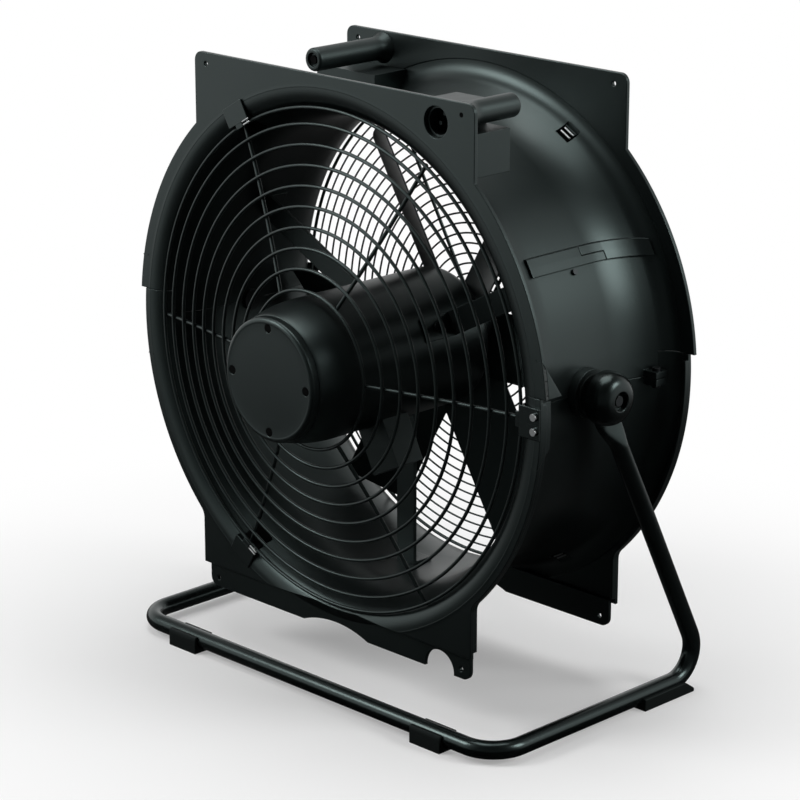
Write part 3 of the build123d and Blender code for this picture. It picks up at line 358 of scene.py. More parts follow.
def dressed(name, data, body, nodes, material, crease=32):
    """Gives a mesh its material, body and smooth shading, and hides the CAD nodes it stands for."""
    piece = new_object(name, data)
    data.materials.clear()
    data.materials.append(material)
    data.shade_smooth()
    data.set_sharp_from_angle(angle=math.radians(crease))
    level = piece.modifiers.new("level", "WEIGHTED_NORMAL")  # flat faces shade flat, edges turn
    level.keep_sharp = True
    piece.data = evaluated(piece)
    piece.modifiers.clear()
    piece.data.name = name
    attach(piece, body)
    if nodes:
        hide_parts(*nodes)
    print(name, len(piece.data.polygons), "faces for", ", ".join(nodes) or "a detail")


# %% [markdown]
# ## Wire guards
# Each guard is a set of rings welded on six spokes and dipped in black coat. The front one domes towards
# you so that it is stiff, the rear one is flat with rings so close that no finger fits. Rings repeat, so
# one Geometry Nodes tree makes both guards: there is one point for each ring, every point carries a
# circle scaled to its radius, and the same dome rule sets how far forward it stands.


# %% sizes of the front and the rear guard, lengths in millimetres
HOOP_STEPS, SPOKE_STEPS = 160, 28
GUARD_SIZES = {"Rings": (9, 23), "Spokes": (6, 6), "Round": (12, 8), "First Radius": (78.6, 10.35),
               "Step": (19.45, 10.35), "Edge Radius": (249.97, 247.47), "Edge Reach": (103.2, -101.0),
               "Slope": (0.13, 0.0), "Curve": (0.00039, 0.0), "Wire Radius": (1.75, 1.0),
               "Edge Wire Radius": (1.75, 1.7), "Spoke Radius": (2.0, 1.8), "Spoke Inner": (78.6, 8.7),
               "Spoke Outer": (249.97, 248.27), "Spoke Lift": (2.95, 2.1)}
print("rings", GUARD_SIZES["Rings"], "spokes", GUARD_SIZES["Spokes"])


# %% the guard tree
MATH, PLUS, TIMES = "ShaderNodeMath", {"operation": "ADD"}, {"operation": "MULTIPLY"}


def guard_tree():
    """Rings and spokes of a wire guard round the Y axis, domed by a rule."""
    tree = bpy.data.node_groups.new("wire_guard", "GeometryNodeTree")
    for label, (size, _) in GUARD_SIZES.items():
        kind = "NodeSocketInt" if isinstance(size, int) else "NodeSocketFloat"
        tree.interface.new_socket(label, in_out="INPUT", socket_type=kind)
    tree.interface.new_socket("Material", in_out="INPUT", socket_type="NodeSocketMaterial")
    tree.interface.new_socket("Geometry", in_out="OUTPUT", socket_type="NodeSocketGeometry")
    sizes = tree.nodes.new("NodeGroupInput").outputs
    add = partial(add_node, tree)

    def dome(radius):
        """Depth of the guard at this radius: slope and curve from the edge inwards, towards you."""
        inward = add(MATH, {"operation": "SUBTRACT"}, i0=sizes["Edge Radius"], i1=radius)
        curve = add(MATH, TIMES, i0=inward, i1=sizes["Curve"])
        rise = add(MATH, PLUS, i0=sizes["Slope"], i1=curve)
        forward = add(MATH, PLUS, i0=add(MATH, TIMES, i0=inward, i1=rise), i1=sizes["Edge Reach"])
        return add(MATH, TIMES, i0=forward, i1=-1.0)

    def wire(curve, thickness):
        """A round wire along every curve."""
        section = add("GeometryNodeCurvePrimitiveCircle", Resolution=sizes["Round"], Radius=sizes[thickness])
        even = add("GeometryNodeSetCurveRadius", Curve=curve, Radius=1.0)
        return add("GeometryNodeCurveToMesh", Curve=even, Profile_Curve=section)

    index = add("GeometryNodeInputIndex")
    radius = add(MATH, PLUS, i0=sizes["First Radius"], i1=add(MATH, TIMES, i0=index, i1=sizes["Step"]))
    spot = add("ShaderNodeCombineXYZ", Y=dome(radius))
    points = add("GeometryNodePoints", Count=sizes["Rings"], Position=spot)
    hoop = add("GeometryNodeCurvePrimitiveCircle", Resolution=HOOP_STEPS, Radius=1.0)
    hoop = add("GeometryNodeTransform", Geometry=hoop, Rotation=(math.pi / 2, 0, 0))
    rings = add("GeometryNodeInstanceOnPoints", Points=points, Instance=hoop, Scale=radius)
    rings = add("GeometryNodeRealizeInstances", Geometry=rings)

    edge_depth = add(MATH, TIMES, i0=sizes["Edge Reach"], i1=-1.0)
    edge_spot = add("ShaderNodeCombineXYZ", Y=edge_depth)
    edge_size = add("ShaderNodeCombineXYZ", X=sizes["Edge Radius"], Y=1.0, Z=sizes["Edge Radius"])
    edge = add("GeometryNodeTransform", Geometry=hoop, Translation=edge_spot, Scale=edge_size)

    start = add("ShaderNodeCombineXYZ", X=sizes["Spoke Inner"])
    end = add("ShaderNodeCombineXYZ", X=sizes["Spoke Outer"])
    line = add("GeometryNodeCurvePrimitiveLine", Start=start, End=end)
    line = add("GeometryNodeResampleCurve", Curve=line, Count=SPOKE_STEPS)
    along = add("ShaderNodeSeparateXYZ", Vector=add("GeometryNodeInputPosition"))
    lifted = add(MATH, PLUS, i0=dome(along), i1=sizes["Spoke Lift"])
    bent = add("GeometryNodeSetPosition", Geometry=line, Offset=add("ShaderNodeCombineXYZ", Y=lifted))
    feet = add("GeometryNodePoints", Count=sizes["Spokes"])
    share = add(MATH, {"operation": "DIVIDE"}, i0=2 * math.pi, i1=sizes["Spokes"])
    turned = add("ShaderNodeCombineXYZ", Y=add(MATH, TIMES, i0=index, i1=share))
    spokes = add("GeometryNodeInstanceOnPoints", Points=feet, Instance=bent, Rotation=turned)
    spokes = add("GeometryNodeRealizeInstances", Geometry=spokes)

    joined = add("GeometryNodeJoinGeometry")
    for curve, thickness in ((rings, "Wire Radius"), (edge, "Edge Wire Radius"), (spokes, "Spoke Radius")):
        fill(joined, Geometry=wire(curve, thickness))
    whole = add("GeometryNodeRealizeInstances", Geometry=joined)
    whole = add("GeometryNodeSetMaterial", Geometry=whole, Material=sizes["Material"])
    fill(add("NodeGroupOutput"), Geometry=whole)
    return tree


GUARD = guard_tree()
print("guard tree with", len(GUARD.nodes), "nodes")

# %% [markdown]
# The front guard has nine rings and an edge ring over a gentle dome. The rear one has 23 thin rings in one
# flat plane. Spokes lie on the outside of the front rings and behind the rear ones.


# %% both guards
def grown(name, tree, sizes):
    """Runs a tree with these sizes and returns the plain mesh it makes."""
    host = new_object(name, bpy.data.meshes.new(name))
    modifier = host.modifiers.new("grow", "NODES")
    modifier.node_group = tree
    for item in tree.interface.items_tree:
        if item.in_out == "INPUT":
            modifier[item.identifier] = sizes[item.name]
    bpy.context.view_layer.update()
    made = evaluated(host)
    host.modifiers.clear()
    bpy.data.objects.remove(host)
    return made


for k, name in enumerate(("front_guard", "rear_guard")):
    sizes = {label: size[k] for label, size in GUARD_SIZES.items()}
    wire = grown(name, GUARD, {**sizes, "Material": WIRE_COAT})
    wire.transform(Matrix.Translation(PIVOT) @ Matrix.Scale(MM, 4))
    low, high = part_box(name)
    dressed(name + "_wires", wire, "head", [name], WIRE_COAT, 80)
    made = sorted(round(v.co.y, 4) for v in wire.vertices)
    print("depths", round(low.y, 4), round(high.y, 4), "made", made[0], made[-1])

# %% [markdown]
# ## Drum halves
# The housing is two pressed halves bolted together on the seam. Each is a throat that flares in two
# tangent curves and rolls over into a flat plate. The skin is two grids of points, air side and outside,
# joined cell by cell where the sheet is present, so the flare stays smooth right up to the stepped seam.


# %% the throat's curve and a wall between two grids
THROAT_R, WALL, FLARE_R, ROLL_R, STRAIGHT = 232.5, 3.5, 111.1, 25.5, 38.0
PLATE_FACE, PLATE_BACK = 106.3, 101.9
SEAM_DEPTH = 92.0
TURNS = [180, 176, 171, 166, 161, 156, 150.92, 150]
ROLLS = [145, 139, 132, 125, 118, 111, 104, 97, 90]
SKIN_ENDS = ((270.6, PLATE_FACE + 0.01), (275.0, PLATE_FACE - 0.9))  # it sinks into the plate
SKIN_STEPS = 110  # faces along half the way round


def throat(offset):
    """Half of the flared throat as (radius, depth), this far outside the air side."""
    far = THROAT_R + FLARE_R
    roll = (far - (FLARE_R - ROLL_R) * math.cos(math.radians(30)), STRAIGHT + (FLARE_R - ROLL_R) / 2)
    points = [(THROAT_R + offset, 0.0), (THROAT_R + offset, 19.0)]
    for centre, radius, angles in (((far, STRAIGHT), FLARE_R, TURNS), (roll, ROLL_R, ROLLS)):
        for angle in angles:
            points += arc(centre, radius - offset, angle, angle, 1)[:1]
    return points


def both_ways(half):
    """A half profile and its mirror image, from the front to the rear."""
    return [(r, -y) for r, y in reversed(half)] + half[1:]


def throat_radius(depth):
    """Radius of the throat's air side at this depth, in the first curve or the straight."""
    climb = max(abs(depth) - STRAIGHT, 0.0)
    return THROAT_R + FLARE_R - math.sqrt(FLARE_R ** 2 - climb ** 2)


def wall(mesh, grids, present):
    """Joins two grids of places into a closed wall, only where a cell is present."""
    rows, columns = len(grids[0]), len(grids[0][0])
    made = {}

    def corner(side, row, column):
        key = (side, row, column)
        if key not in made:
            made[key] = mesh.verts.new(grids[side][row][column])
        return made[key]

    def there(row, column):
        return 0 <= row < rows - 1 and 0 <= column < columns - 1 and present(row, column)

    for row in range(rows - 1):
        for column in range(columns - 1):
            if not there(row, column):
                continue
            square = [(row, column), (row, column + 1), (row + 1, column + 1), (row + 1, column)]
            for side in (0, 1):
                mesh.faces.new([corner(side, *at) for at in square])
            beyond = [(row - 1, column), (row, column + 1), (row + 1, column), (row, column - 1)]
            for k, next_cell in enumerate(beyond):
                if not there(*next_cell):
                    a, b = square[k], square[(k + 1) % 4]
                    mesh.faces.new((corner(0, *a), corner(0, *b), corner(1, *b), corner(1, *a)))


def add_part(mesh, part, edge):
    """Rounds the sharp edges of a small closed mesh and adds it to a bigger one."""
    bmesh.ops.recalc_face_normals(part, faces=part.faces)
    if edge:
        sharp = [e for e in part.edges if e.is_manifold and e.calc_face_angle() > math.radians(40)]
        bmesh.ops.bevel(part, geom=sharp, offset=edge * MM, segments=2, profile=0.5, affect="EDGES")
    data = bpy.data.meshes.new("part")
    part.to_mesh(data)
    part.free()
    mesh.from_mesh(data)
    bpy.data.meshes.remove(data)


def slab(mesh, at, sides, rows, columns, edge=0.0, present=lambda row, column: True):
    """Adds a wall between two sides to a mesh: at(side, row, column) says where its points are."""
    part = bmesh.new()
    wall(part, [[[at(side, row, column) for column in columns] for row in rows] for side in sides], present)
    add_part(mesh, part, edge)


def tab(mesh, angle, radii, sides, depths, edge=0.0):
    """A block at an angle round the fan: between two radii, two sideways places and two depths."""
    part = bmesh.new()
    made = bmesh.ops.create_cube(part, size=1.0)["verts"]
    spans = (radii, depths, sides)
    for vert in made:
        corner = [span[0] if vert.co[i] < 0 else span[1] for i, span in enumerate(spans)]
        vert.co = spun(angle) @ place(*corner)
    add_part(mesh, part, edge)


def carved(mesh, cutter):
    """Takes the cutter away from a closed mesh."""
    pair = []
    for label, source in (("whole", mesh), ("cutter", cutter)):
        bmesh.ops.recalc_face_normals(source, faces=source.faces)
        data = bpy.data.meshes.new(label)
        source.to_mesh(data)
        source.free()
        pair.append(new_object(label, data))
    cut = pair[0].modifiers.new("cut", "BOOLEAN")
    cut.object = pair[1]
    cut.solver = "EXACT"
    left = bmesh.new()
    left.from_mesh(evaluated(pair[0]))
    for thing in pair:
        bpy.data.objects.remove(thing)
    return left


def half_skin(mesh, rises, way, tongue):
    """The flared skin of one half: the seam's rises, up or down, and where its tongues are."""
    section = [both_ways(throat(offset)) for offset in (0.0, WALL)]
    for k, side in enumerate(section):
        for end in (0, -1):
            for radius, depth in SKIN_ENDS:
                over = (radius, math.copysign(depth if k == 0 else PLATE_FACE - WALL, side[end][1]))
                side.insert(0 if end == 0 else len(side), over)
    grids = []
    for side in section:
        columns = []
        for radius, depth in side:
            first = [math.asin(rise / radius) for rise in rises]
            sweep = way * math.pi - 2 * first[-1]
            turns = first + [first[-1] + sweep * k / SKIN_STEPS for k in range(1, SKIN_STEPS)]
            turns += [way * math.pi - turn for turn in reversed(first)]
            columns.append([place(radius * math.cos(t), depth, radius * math.sin(t)) for t in turns])
        grids.append(list(zip(*columns)))
    depths = [y for _, y in section[0]]
    rows = len(grids[0])

    def present(row, column):
        beside = row < len(rises) - 1 or row >= rows - len(rises)
        return not beside or tongue(abs(depths[column] + depths[column + 1]) / 2)

    wall(mesh, grids, present)


print("throat from", throat(0.0)[0], "to", throat(0.0)[-1])

# %% [markdown]
# The skin has a small window behind each guard clip but one, where the clip's spring wires show.
# The flat plates are outlines: the mouth's circle, the round flange and the square ears, with their
# holes. A rolled edge of only 0.6 mm draws the bright line along every edge of a painted sheet. The
# lower plates have a turned rim and a strip joggled back at the foot.

# %% outlines of the plates
SEAM_RISE, SEAM_GAP, EAR_X, TOP_RISE, EAR_ROUND = 24.0, 0.2, 191.5, 282.37, 9.5
HOLE_X, HOLE_R, INLET = 174.8, 2.5, (142.5, 259.47, 15.0)
HOLE_RISE, FOOT_HOLE_RISE = 270.97, -269.27
UPPER_R, LOWER_R, MOUTH_R = 283.97, 276.97, 269.6
JOGGLE_RISE, FOOT_RISE, STRIP_X, WAIST_ROUND = -253.97, -278.97, 187.0, 15.0


def mirrored(right):
    """The left half of an outline, from its right half."""
    return [(-x, z) for x, z in reversed(right)]


def angle_at(rise, radius):
    """Angle in degrees where a circle has this rise."""
    return math.degrees(math.asin(rise / radius))


def upper_outline():
    """Plate of the upper half: flange, square ears and the mouth's arc."""
    low = SEAM_RISE + SEAM_GAP
    ear = math.degrees(math.acos(EAR_X / UPPER_R))
    right = arc((0, 0), MOUTH_R, 90, angle_at(low, MOUTH_R), 60)
    right += arc((0, 0), UPPER_R, angle_at(low, UPPER_R), ear, 30)
    right += arc((EAR_X - EAR_ROUND, TOP_RISE - EAR_ROUND), EAR_ROUND, 0, 90, 8)
    return right[1:] + mirrored(right[1:])


def lower_edge(inset, top, foot):
    """Outer edge of the lower plate on the right, from the seam down, this far inside."""
    centre = (EAR_X + WAIST_ROUND, -math.sqrt((LOWER_R + WAIST_ROUND) ** 2 - (EAR_X + WAIST_ROUND) ** 2))
    meet = math.degrees(math.atan2(-centre[1], -centre[0]))
    edge = arc((0, 0), LOWER_R - inset, angle_at(top, LOWER_R - inset), meet - 180, 40)
    edge += arc(centre, WAIST_ROUND + inset, meet, 180, 8)[1:]
    return edge + [(EAR_X - inset, foot)]


def lower_outline():
    """Right half of the lower plate down to the joggle."""
    top = SEAM_RISE - SEAM_GAP
    mouth = arc((0, 0), MOUTH_R, angle_at(JOGGLE_RISE, MOUTH_R), angle_at(top, MOUTH_R), 60)
    return lower_edge(0, top, JOGGLE_RISE) + mouth


def strip_outline(notch):
    """The joggled strip along the foot, with its arch and, in front, a half round notch."""
    inner, arch_half_w, arch_h = 255.2, 46.0, 9.0
    top = JOGGLE_RISE + 4.4
    half = arc((0, 0), inner, -90, angle_at(top, inner), 12)[1:] + [(STRIP_X, top)]
    half += arc((STRIP_X - EAR_ROUND, FOOT_RISE + EAR_ROUND), EAR_ROUND, 0, -90, 8)
    arch_r = (arch_half_w ** 2 + arch_h ** 2) / (2 * arch_h)
    arch_centre = (0, FOOT_RISE + arch_h - arch_r)
    reach = math.degrees(math.asin(arch_half_w / arch_r))
    arch = arc(arch_centre, arch_r, 90 - reach, 90 + reach, 16)
    cut = arc((145.5, FOOT_RISE + 1.5), 19.5, -4.41, 184.41, 24) if notch else []
    return half + cut + arch + mirrored(half)


def hole(x, rise, radius=HOLE_R):
    """A round hole."""
    return arc((x, rise), radius, 0, 360, 32)[:-1]


# %% upper half
LIP_W, LUG_REACH = 7.0, 259.0
WINDOW, WINDOW_DEPTHS = ((244, 266), (-9, 9)), (86, 99)  # radii and sideways places, then depths
LUG_DEPTHS = ((76.0, SEAM_DEPTH), (-SEAM_DEPTH, -76.0))


def windowed(rises, way, tongue, angles, gaps=()):
    """The skin of one half with a window at the rear and one in front, at two angles, and foot gaps."""
    skin, cutter = bmesh.new(), bmesh.new()
    half_skin(skin, rises, way, tongue)
    for side, angle in zip((1, -1), angles):
        tab(cutter, angle, *WINDOW, sorted(side * depth for depth in WINDOW_DEPTHS))
    for depths in gaps:
        tab(cutter, 0, (-120, 120), (-290, JOGGLE_RISE), depths)
    return carved(skin, cutter)


def seam_sides(mesh, rises, depth_at, outer_r, lug_rises):
    """Beside the seam: a turned lip of the front plate with a slanted end, and lugs for the bolts."""
    start = -PLATE_FACE + 0.4
    for hand in (1, -1):
        def lip(radius, rise, k):
            x = hand * math.sqrt(radius ** 2 - rise ** 2)
            return place(x, start + (depth_at(rise) - start) * k / 4, rise)

        slab(mesh, lip, (outer_r - LIP_W, outer_r - 0.02), rises, range(5), 0.5)
        for near, far in LUG_DEPTHS:
            steps = [near + (far - near) * k / 4 for k in range(5)]
            ends = (lambda y: throat_radius(y) + 1.8, lambda y: LUG_REACH)
            slab(mesh, lambda x, z, y: place(hand * x(y), y, z), ends, lug_rises, steps, 0.6)


upper = windowed((SEAM_GAP, 12.0, SEAM_RISE + SEAM_GAP), 1, lambda depth: depth < SEAM_DEPTH, (60, 120))
for face, second in ((-1, INLET), (1, (HOLE_X, HOLE_RISE))):
    holes = [hole(-HOLE_X, HOLE_RISE), hole(*second)]
    sheet(upper, upper_outline(), face * PLATE_FACE, face * PLATE_BACK, 0.6, holes)
lip_rises = [24.2 + 35.6 * k / 8 for k in range(9)]
seam_sides(upper, lip_rises, lambda z: -84.2 - 22.1 * (z - 24.2) / 35.8, UPPER_R, (SEAM_GAP, 7.0))
finished("drum_upper_half", upper, "head", ["upper_shell"], SATIN_BLACK)

# %% lower half
lower = windowed((SEAM_RISE - SEAM_GAP, 12.0, -SEAM_GAP), -1, lambda depth: depth > SEAM_DEPTH,
                 (300, 240), ((-115, -PLATE_BACK), (PLATE_BACK, 115)))
for face in (-1, 1):
    for hand in (1, -1):
        plate = [(hand * x, z) for x, z in lower_outline()]
        sheet(lower, plate, face * PLATE_FACE, face * PLATE_BACK, 0.6)
        band = lower_edge(0, 17.9, -248.0) + list(reversed(lower_edge(3.0, 17.9, -248.0)))
        sheet(lower, [(hand * x, z) for x, z in band], face * (PLATE_BACK + 1.0), face * 97.3, 0.5)
    holes = [hole(x, FOOT_HOLE_RISE) for x in (-HOLE_X, HOLE_X)]
    sheet(lower, strip_outline(face < 0), face * PLATE_BACK, face * 97.5, 0.6, holes)
lip_rises = [-44.8, -40.5, -36.0, -31.5, -27.0, -15.0, -3.0, 8.0, 20.0]
seam_sides(lower, lip_rises, lambda z: -92.0 - 14.3 * max(0.0, -27.0 - z) / 18.0, LOWER_R,
           (-7.0, -SEAM_GAP))
finished("drum_lower_half", lower, "head", ["lower_shell"], SATIN_BLACK)

# %% [markdown]
# ## Straps and posts
# A stepped strap of two interlocking tongues goes round each side of the drum and follows its flare.
# The cord posts are turned mouldings with a flared foot, a rounded tip and a screw sunk in it.


# %% straps
STRAP_DEPTHS = [-46, -42, -34, -24, -12, 0, 12, 26, 26.4, 38, 46, 55, 55.4, 64, 72, 80, 86, 92, 98]
STRAP_RISES = [114.0, 121.6, 122.0, 129.6]
STRAP_T = 3.0


def strap(node, present_at, hand):
    """A band on the outside of the drum, between its edges, only where it is present."""
    def at(offset, rise, depth):
        return place(hand * math.sqrt(skin_radius(depth, offset) ** 2 - rise ** 2), depth, rise)

    middles = [(a + b) / 2 for a, b in zip(STRAP_DEPTHS, STRAP_DEPTHS[1:])]
    whole = bmesh.new()
    slab(whole, at, (WALL - 0.05, WALL + STRAP_T), STRAP_RISES, STRAP_DEPTHS, 0.5,
         lambda row, column: present_at(middles[column], row))
    finished(node + "_band", whole, "head", [node], SATIN_BLACK)


def skin_radius(depth, offset):
    """Radius of a surface this far outside the air side at this depth, read off the flared profile."""
    line = throat(offset)
    for (r0, y0), (r1, y1) in zip(line, line[1:]):
        if y0 <= abs(depth) <= y1:
            return r0 + (r1 - r0) * (abs(depth) - y0) / max(y1 - y0, 1e-6)
    return line[-1][0]


SIDES = (("right", 1), ("left", -1))
for side_name, hand in SIDES:
    strap("strap_front_" + side_name, lambda depth, row: depth < 26 or (depth < 55 and row == 0), hand)
    strap("strap_rear_" + side_name, lambda depth, row: depth > 55.4 or (depth > 26.4 and row == 2), hand)


# %% cord posts and their sunk screws
SCREW_R, SEAT_R, TIP_ROUND, FOOT_L = 2.6, 7.1, 3.0, 14.0


def post(node, centre, base, tip, base_r, tip_r):
    """A turned post from the plate to its tip, with a flared foot and a sunk screw seat."""
    way = 1 if tip > base else -1
    profile = [(SCREW_R, base), (base_r, base)]
    for k in range(1, 11):
        swell = (1 - math.sin(math.radians(9 * k))) ** 1.2
        profile.append((tip_r + (base_r - tip_r) * swell, base + way * FOOT_L * k / 10))
    profile.append((tip_r, tip - way * TIP_ROUND))
    for t in (math.radians(15 * k) for k in range(1, 7)):
        drop = way * TIP_ROUND * (1 - math.sin(t))
        profile.append((tip_r - TIP_ROUND + TIP_ROUND * math.cos(t), tip - drop))
    profile += [(SEAT_R + 0.4, tip), (SEAT_R, tip - way * 0.4), (SEAT_R, tip - way * 3.2)]
    profile += [(SCREW_R, tip - way * 3.2)]
    mesh = turn(profile, segments=64, centre=centre)
    for vert in mesh.verts:  # the foot is cut off flush with the top of the plate
        vert.co.z = min(vert.co.z, place(0, 0, TOP_RISE).z)
    finished(node + "_turned", mesh, "head", [node], MOULDED_ABS)


post("cord_post_front", (HOLE_X, HOLE_RISE), -PLATE_BACK, -38.0, 14.2, 11.5)
post("cord_post_rear", (-139.0, 264.97), PLATE_BACK, 4.0, 16.5, 12.0)

# %% [markdown]
# ## Motor, cap and knobs
# The motor is a turned case whose nose swells from the cap to the body. The cap is pressed with a rounded
# rim and is held by four screws sunk into its face. Knobs are round balls cut off flat at the arm, with
# a sunk centre for their screw. All are profiles turned about their axis.

# %% motor case and cap
CAP_FACE, MOTOR_FRONT, MOTOR_REAR = -187.5, -178.0, 50.0
MOTOR_R, NOSE_R, NOSE_L, END_ROUND = 70.0, 62.5, 48.0, 12.0
BORE_R, SHAFT_GAP_R = 16.0, 9.0
round_from = MOTOR_REAR - END_ROUND
case = [(BORE_R, MOTOR_FRONT + 0.5), (NOSE_R - 0.6, MOTOR_FRONT), (NOSE_R, MOTOR_FRONT + 0.6)]
case += [(MOTOR_R - (MOTOR_R - NOSE_R) * (1 - k / 16) ** 2, MOTOR_FRONT + NOSE_L * k / 16)
         for k in range(1, 17)]
case += [(MOTOR_R, -60.0), (MOTOR_R, 0.0), (MOTOR_R, round_from)]
case += arc((MOTOR_R - END_ROUND, round_from), END_ROUND, 0, 90, 8)[1:]
case += [(SHAFT_GAP_R, MOTOR_REAR), (SHAFT_GAP_R, round_from), (BORE_R, MOTOR_FRONT + 12.0)]
finished("motor_case", turn(case, segments=160), "head", ["motor_body"], SATIN_BLACK)

CAP_R, CAP_ROUND, CAP_STEP, CAP_SCREW_R = 61.5, 4.1, 0.35, 51.5
cap = [(0.0, MOTOR_FRONT), (CAP_R, MOTOR_FRONT), (CAP_R, MOTOR_FRONT - 3.4)]
cap += arc((CAP_R - CAP_ROUND, MOTOR_FRONT - 5.4), CAP_ROUND, 0, -90, 10)[1:]
cap += [(56.2, CAP_FACE)] + [(r, CAP_FACE + CAP_STEP) for r in (55.6, 47.0, 42.0, 28.0, 14.0, 0.0)]
pressed, seats = turn(cap, segments=160), bmesh.new()
seat = [(0.0, CAP_FACE - 2), (4.9, CAP_FACE - 2), (4.9, CAP_FACE), (4.2, CAP_FACE + 0.8),
        (4.2, CAP_FACE + 3.0), (0.0, CAP_FACE + 3.0)]
for k in range(4):
    t = math.pi / 2 * k
    turn(seat, seats, segments=32, centre=(CAP_SCREW_R * math.cos(t), CAP_SCREW_R * math.sin(t)))
for part in (pressed, seats):
    bmesh.ops.remove_doubles(part, verts=part.verts, dist=1e-7)
finished("motor_cap_pressed", carved(pressed, seats), "head", ["motor_cap"], SATIN_BLACK)

# %% knobs
BALL_R, BALL_X = 26.0, 266.0  # the ball is widest from the arm out to this x
ball = [(6.1, 257.9), (24.9, 257.7), (25.6, 258.1), (BALL_R, 258.9), (BALL_R, BALL_X)]
ball += [(BALL_R - 14.0 * (1 - math.cos(t) ** 0.9), BALL_X + 15.6 * math.sin(t))
         for t in (math.radians(6 * k) for k in range(1, 15))]
ball += [(12.0, 281.8), (9.9, 281.9), (9.1, 281.2), (9.0, 276.0), (2.7, 276.0), (6.1, 272.0)]
for side_name, hand in SIDES:
    mesh = turn(ball, axis="tilt", segments=96, hand=hand)
    finished("knob_ball_" + side_name, mesh, side_name + "_knob", ["knob_" + side_name], KNOB_ABS)

# %% [markdown]
# ## Bent stand
# One steel tube is bent into the base and both arms. Its ends are pressed flat and rounded where the
# pivot goes through. The swept section changes from a flat bar with full corners to a circle, so the
# squeeze runs out smoothly down the arm.

# %% stand
TUBE_R, STAND_X, BAR_RISE, FRONT_BAR, REAR_CORNER = 9.0, 256.2, -322.2, -141.1, 164.4
REAR_BEND_R, FRONT_BEND_R = 31.0, 36.0
FLAT_X, FLAT_HALF_W, FLAT_HALF_T, FLAT_SQUARE = 252.6, 14.0, 4.7, 5.0
FLAT_L, EASE_L = 28.0, 34.0  # along the arm: the full flat, then its change to a round tube
ARM = Vector((0, REAR_CORNER, BAR_RISE)).normalized()


def section_ring(mesh, centre, ahead, sideways, half_t, half_w, power, steps=28):
    """One closed ring of the tube: a circle at power 2, squarer above it."""
    up = ahead.cross(sideways).normalized()
    ring = []
    for k in range(steps):
        a = 2 * math.pi * k / steps
        c, s = math.cos(a), math.sin(a)
        across = math.copysign(abs(c) ** (2 / power), c) * half_t
        along = math.copysign(abs(s) ** (2 / power), s) * half_w
        point = centre + sideways * across + up * along
        ring.append(mesh.verts.new(place(*point)))
    return ring


def bend_points(before, corner, after, radius, steps=14):
    """Centre line points and directions round a bend."""
    back, ahead = (before - corner).normalized(), (after - corner).normalized()
    half = back.angle(ahead) / 2
    centre = corner + (back + ahead).normalized() * (radius / math.sin(half))
    first, last = (corner + way * (radius / math.tan(half)) - centre for way in (back, ahead))
    total = first.angle(last)
    found = []
    for k in range(steps + 1):
        f = k / steps
        spoke = (first * math.sin((1 - f) * total) + last * math.sin(f * total)) / math.sin(total)
        tangent = (last * math.cos(f * total) - first * math.cos((1 - f) * total)).normalized()
        found.append((centre + spoke, tangent))
    return found


def half_stand(mesh, hand):
    """The tube from one pivot down to the middle of the front bar."""
    pivot = Vector((FLAT_X, 0, 0))
    stations = []
    for s in (-13.95, -13.6, -12.8, -11.5, -9.5, -7.0, -4.0, 0.0, 10.0, 20.0, 28.0):
        half_w = FLAT_HALF_W if s >= 0 else math.sqrt(FLAT_HALF_W ** 2 - s ** 2)
        stations.append((pivot + ARM * s, ARM, FLAT_HALF_T, half_w, FLAT_SQUARE))
    for k in range(1, 13):
        f = k / 12
        ease = f * f * (3 - 2 * f)
        centre = pivot + Vector(((STAND_X - FLAT_X) * ease, 0, 0)) + ARM * (FLAT_L + EASE_L * f)
        half_t = FLAT_HALF_T + (TUBE_R - FLAT_HALF_T) * ease
        half_w = FLAT_HALF_W + (TUBE_R - FLAT_HALF_W) * ease
        stations.append((centre, ARM, half_t, half_w, FLAT_SQUARE - (FLAT_SQUARE - 2.0) * ease))
    top, rear = Vector((STAND_X, 0, 0)), Vector((STAND_X, REAR_CORNER, BAR_RISE))
    front, middle = Vector((STAND_X, FRONT_BAR, BAR_RISE)), Vector((0, FRONT_BAR, BAR_RISE))
    bends = bend_points(top, rear, front, REAR_BEND_R) + bend_points(rear, front, middle, FRONT_BEND_R)
    for centre, ahead in bends:
        stations.append((centre, ahead, TUBE_R, TUBE_R, 2.0))
    stations.append((middle, Vector((-1, 0, 0)), TUBE_R, TUBE_R, 2.0))
    rings = []
    for centre, ahead, half_t, half_w, power in stations:
        flat_bend = abs(ahead.x) > 1e-6
        sideways = Vector((0, 0, 1)).cross(ahead).normalized() if flat_bend else Vector((1, 0, 0))
        ring = section_ring(mesh, centre, ahead, sideways, half_t, half_w, power)
        for vert in ring:
            vert.co.x = hand * vert.co.x
        rings.append(ring)
    for a, b in zip(rings, rings[1:]):
        for k in range(len(a)):
            j = (k + 1) % len(a)
            mesh.faces.new((a[k], a[j], b[j], b[k]))
    mesh.faces.new(rings[0])


mesh = bmesh.new()
for hand in (1, -1):
    half_stand(mesh, hand)
finished("stand_tube", mesh, "stand", ["stand_frame"], GLOSS_BLACK, crease=50)

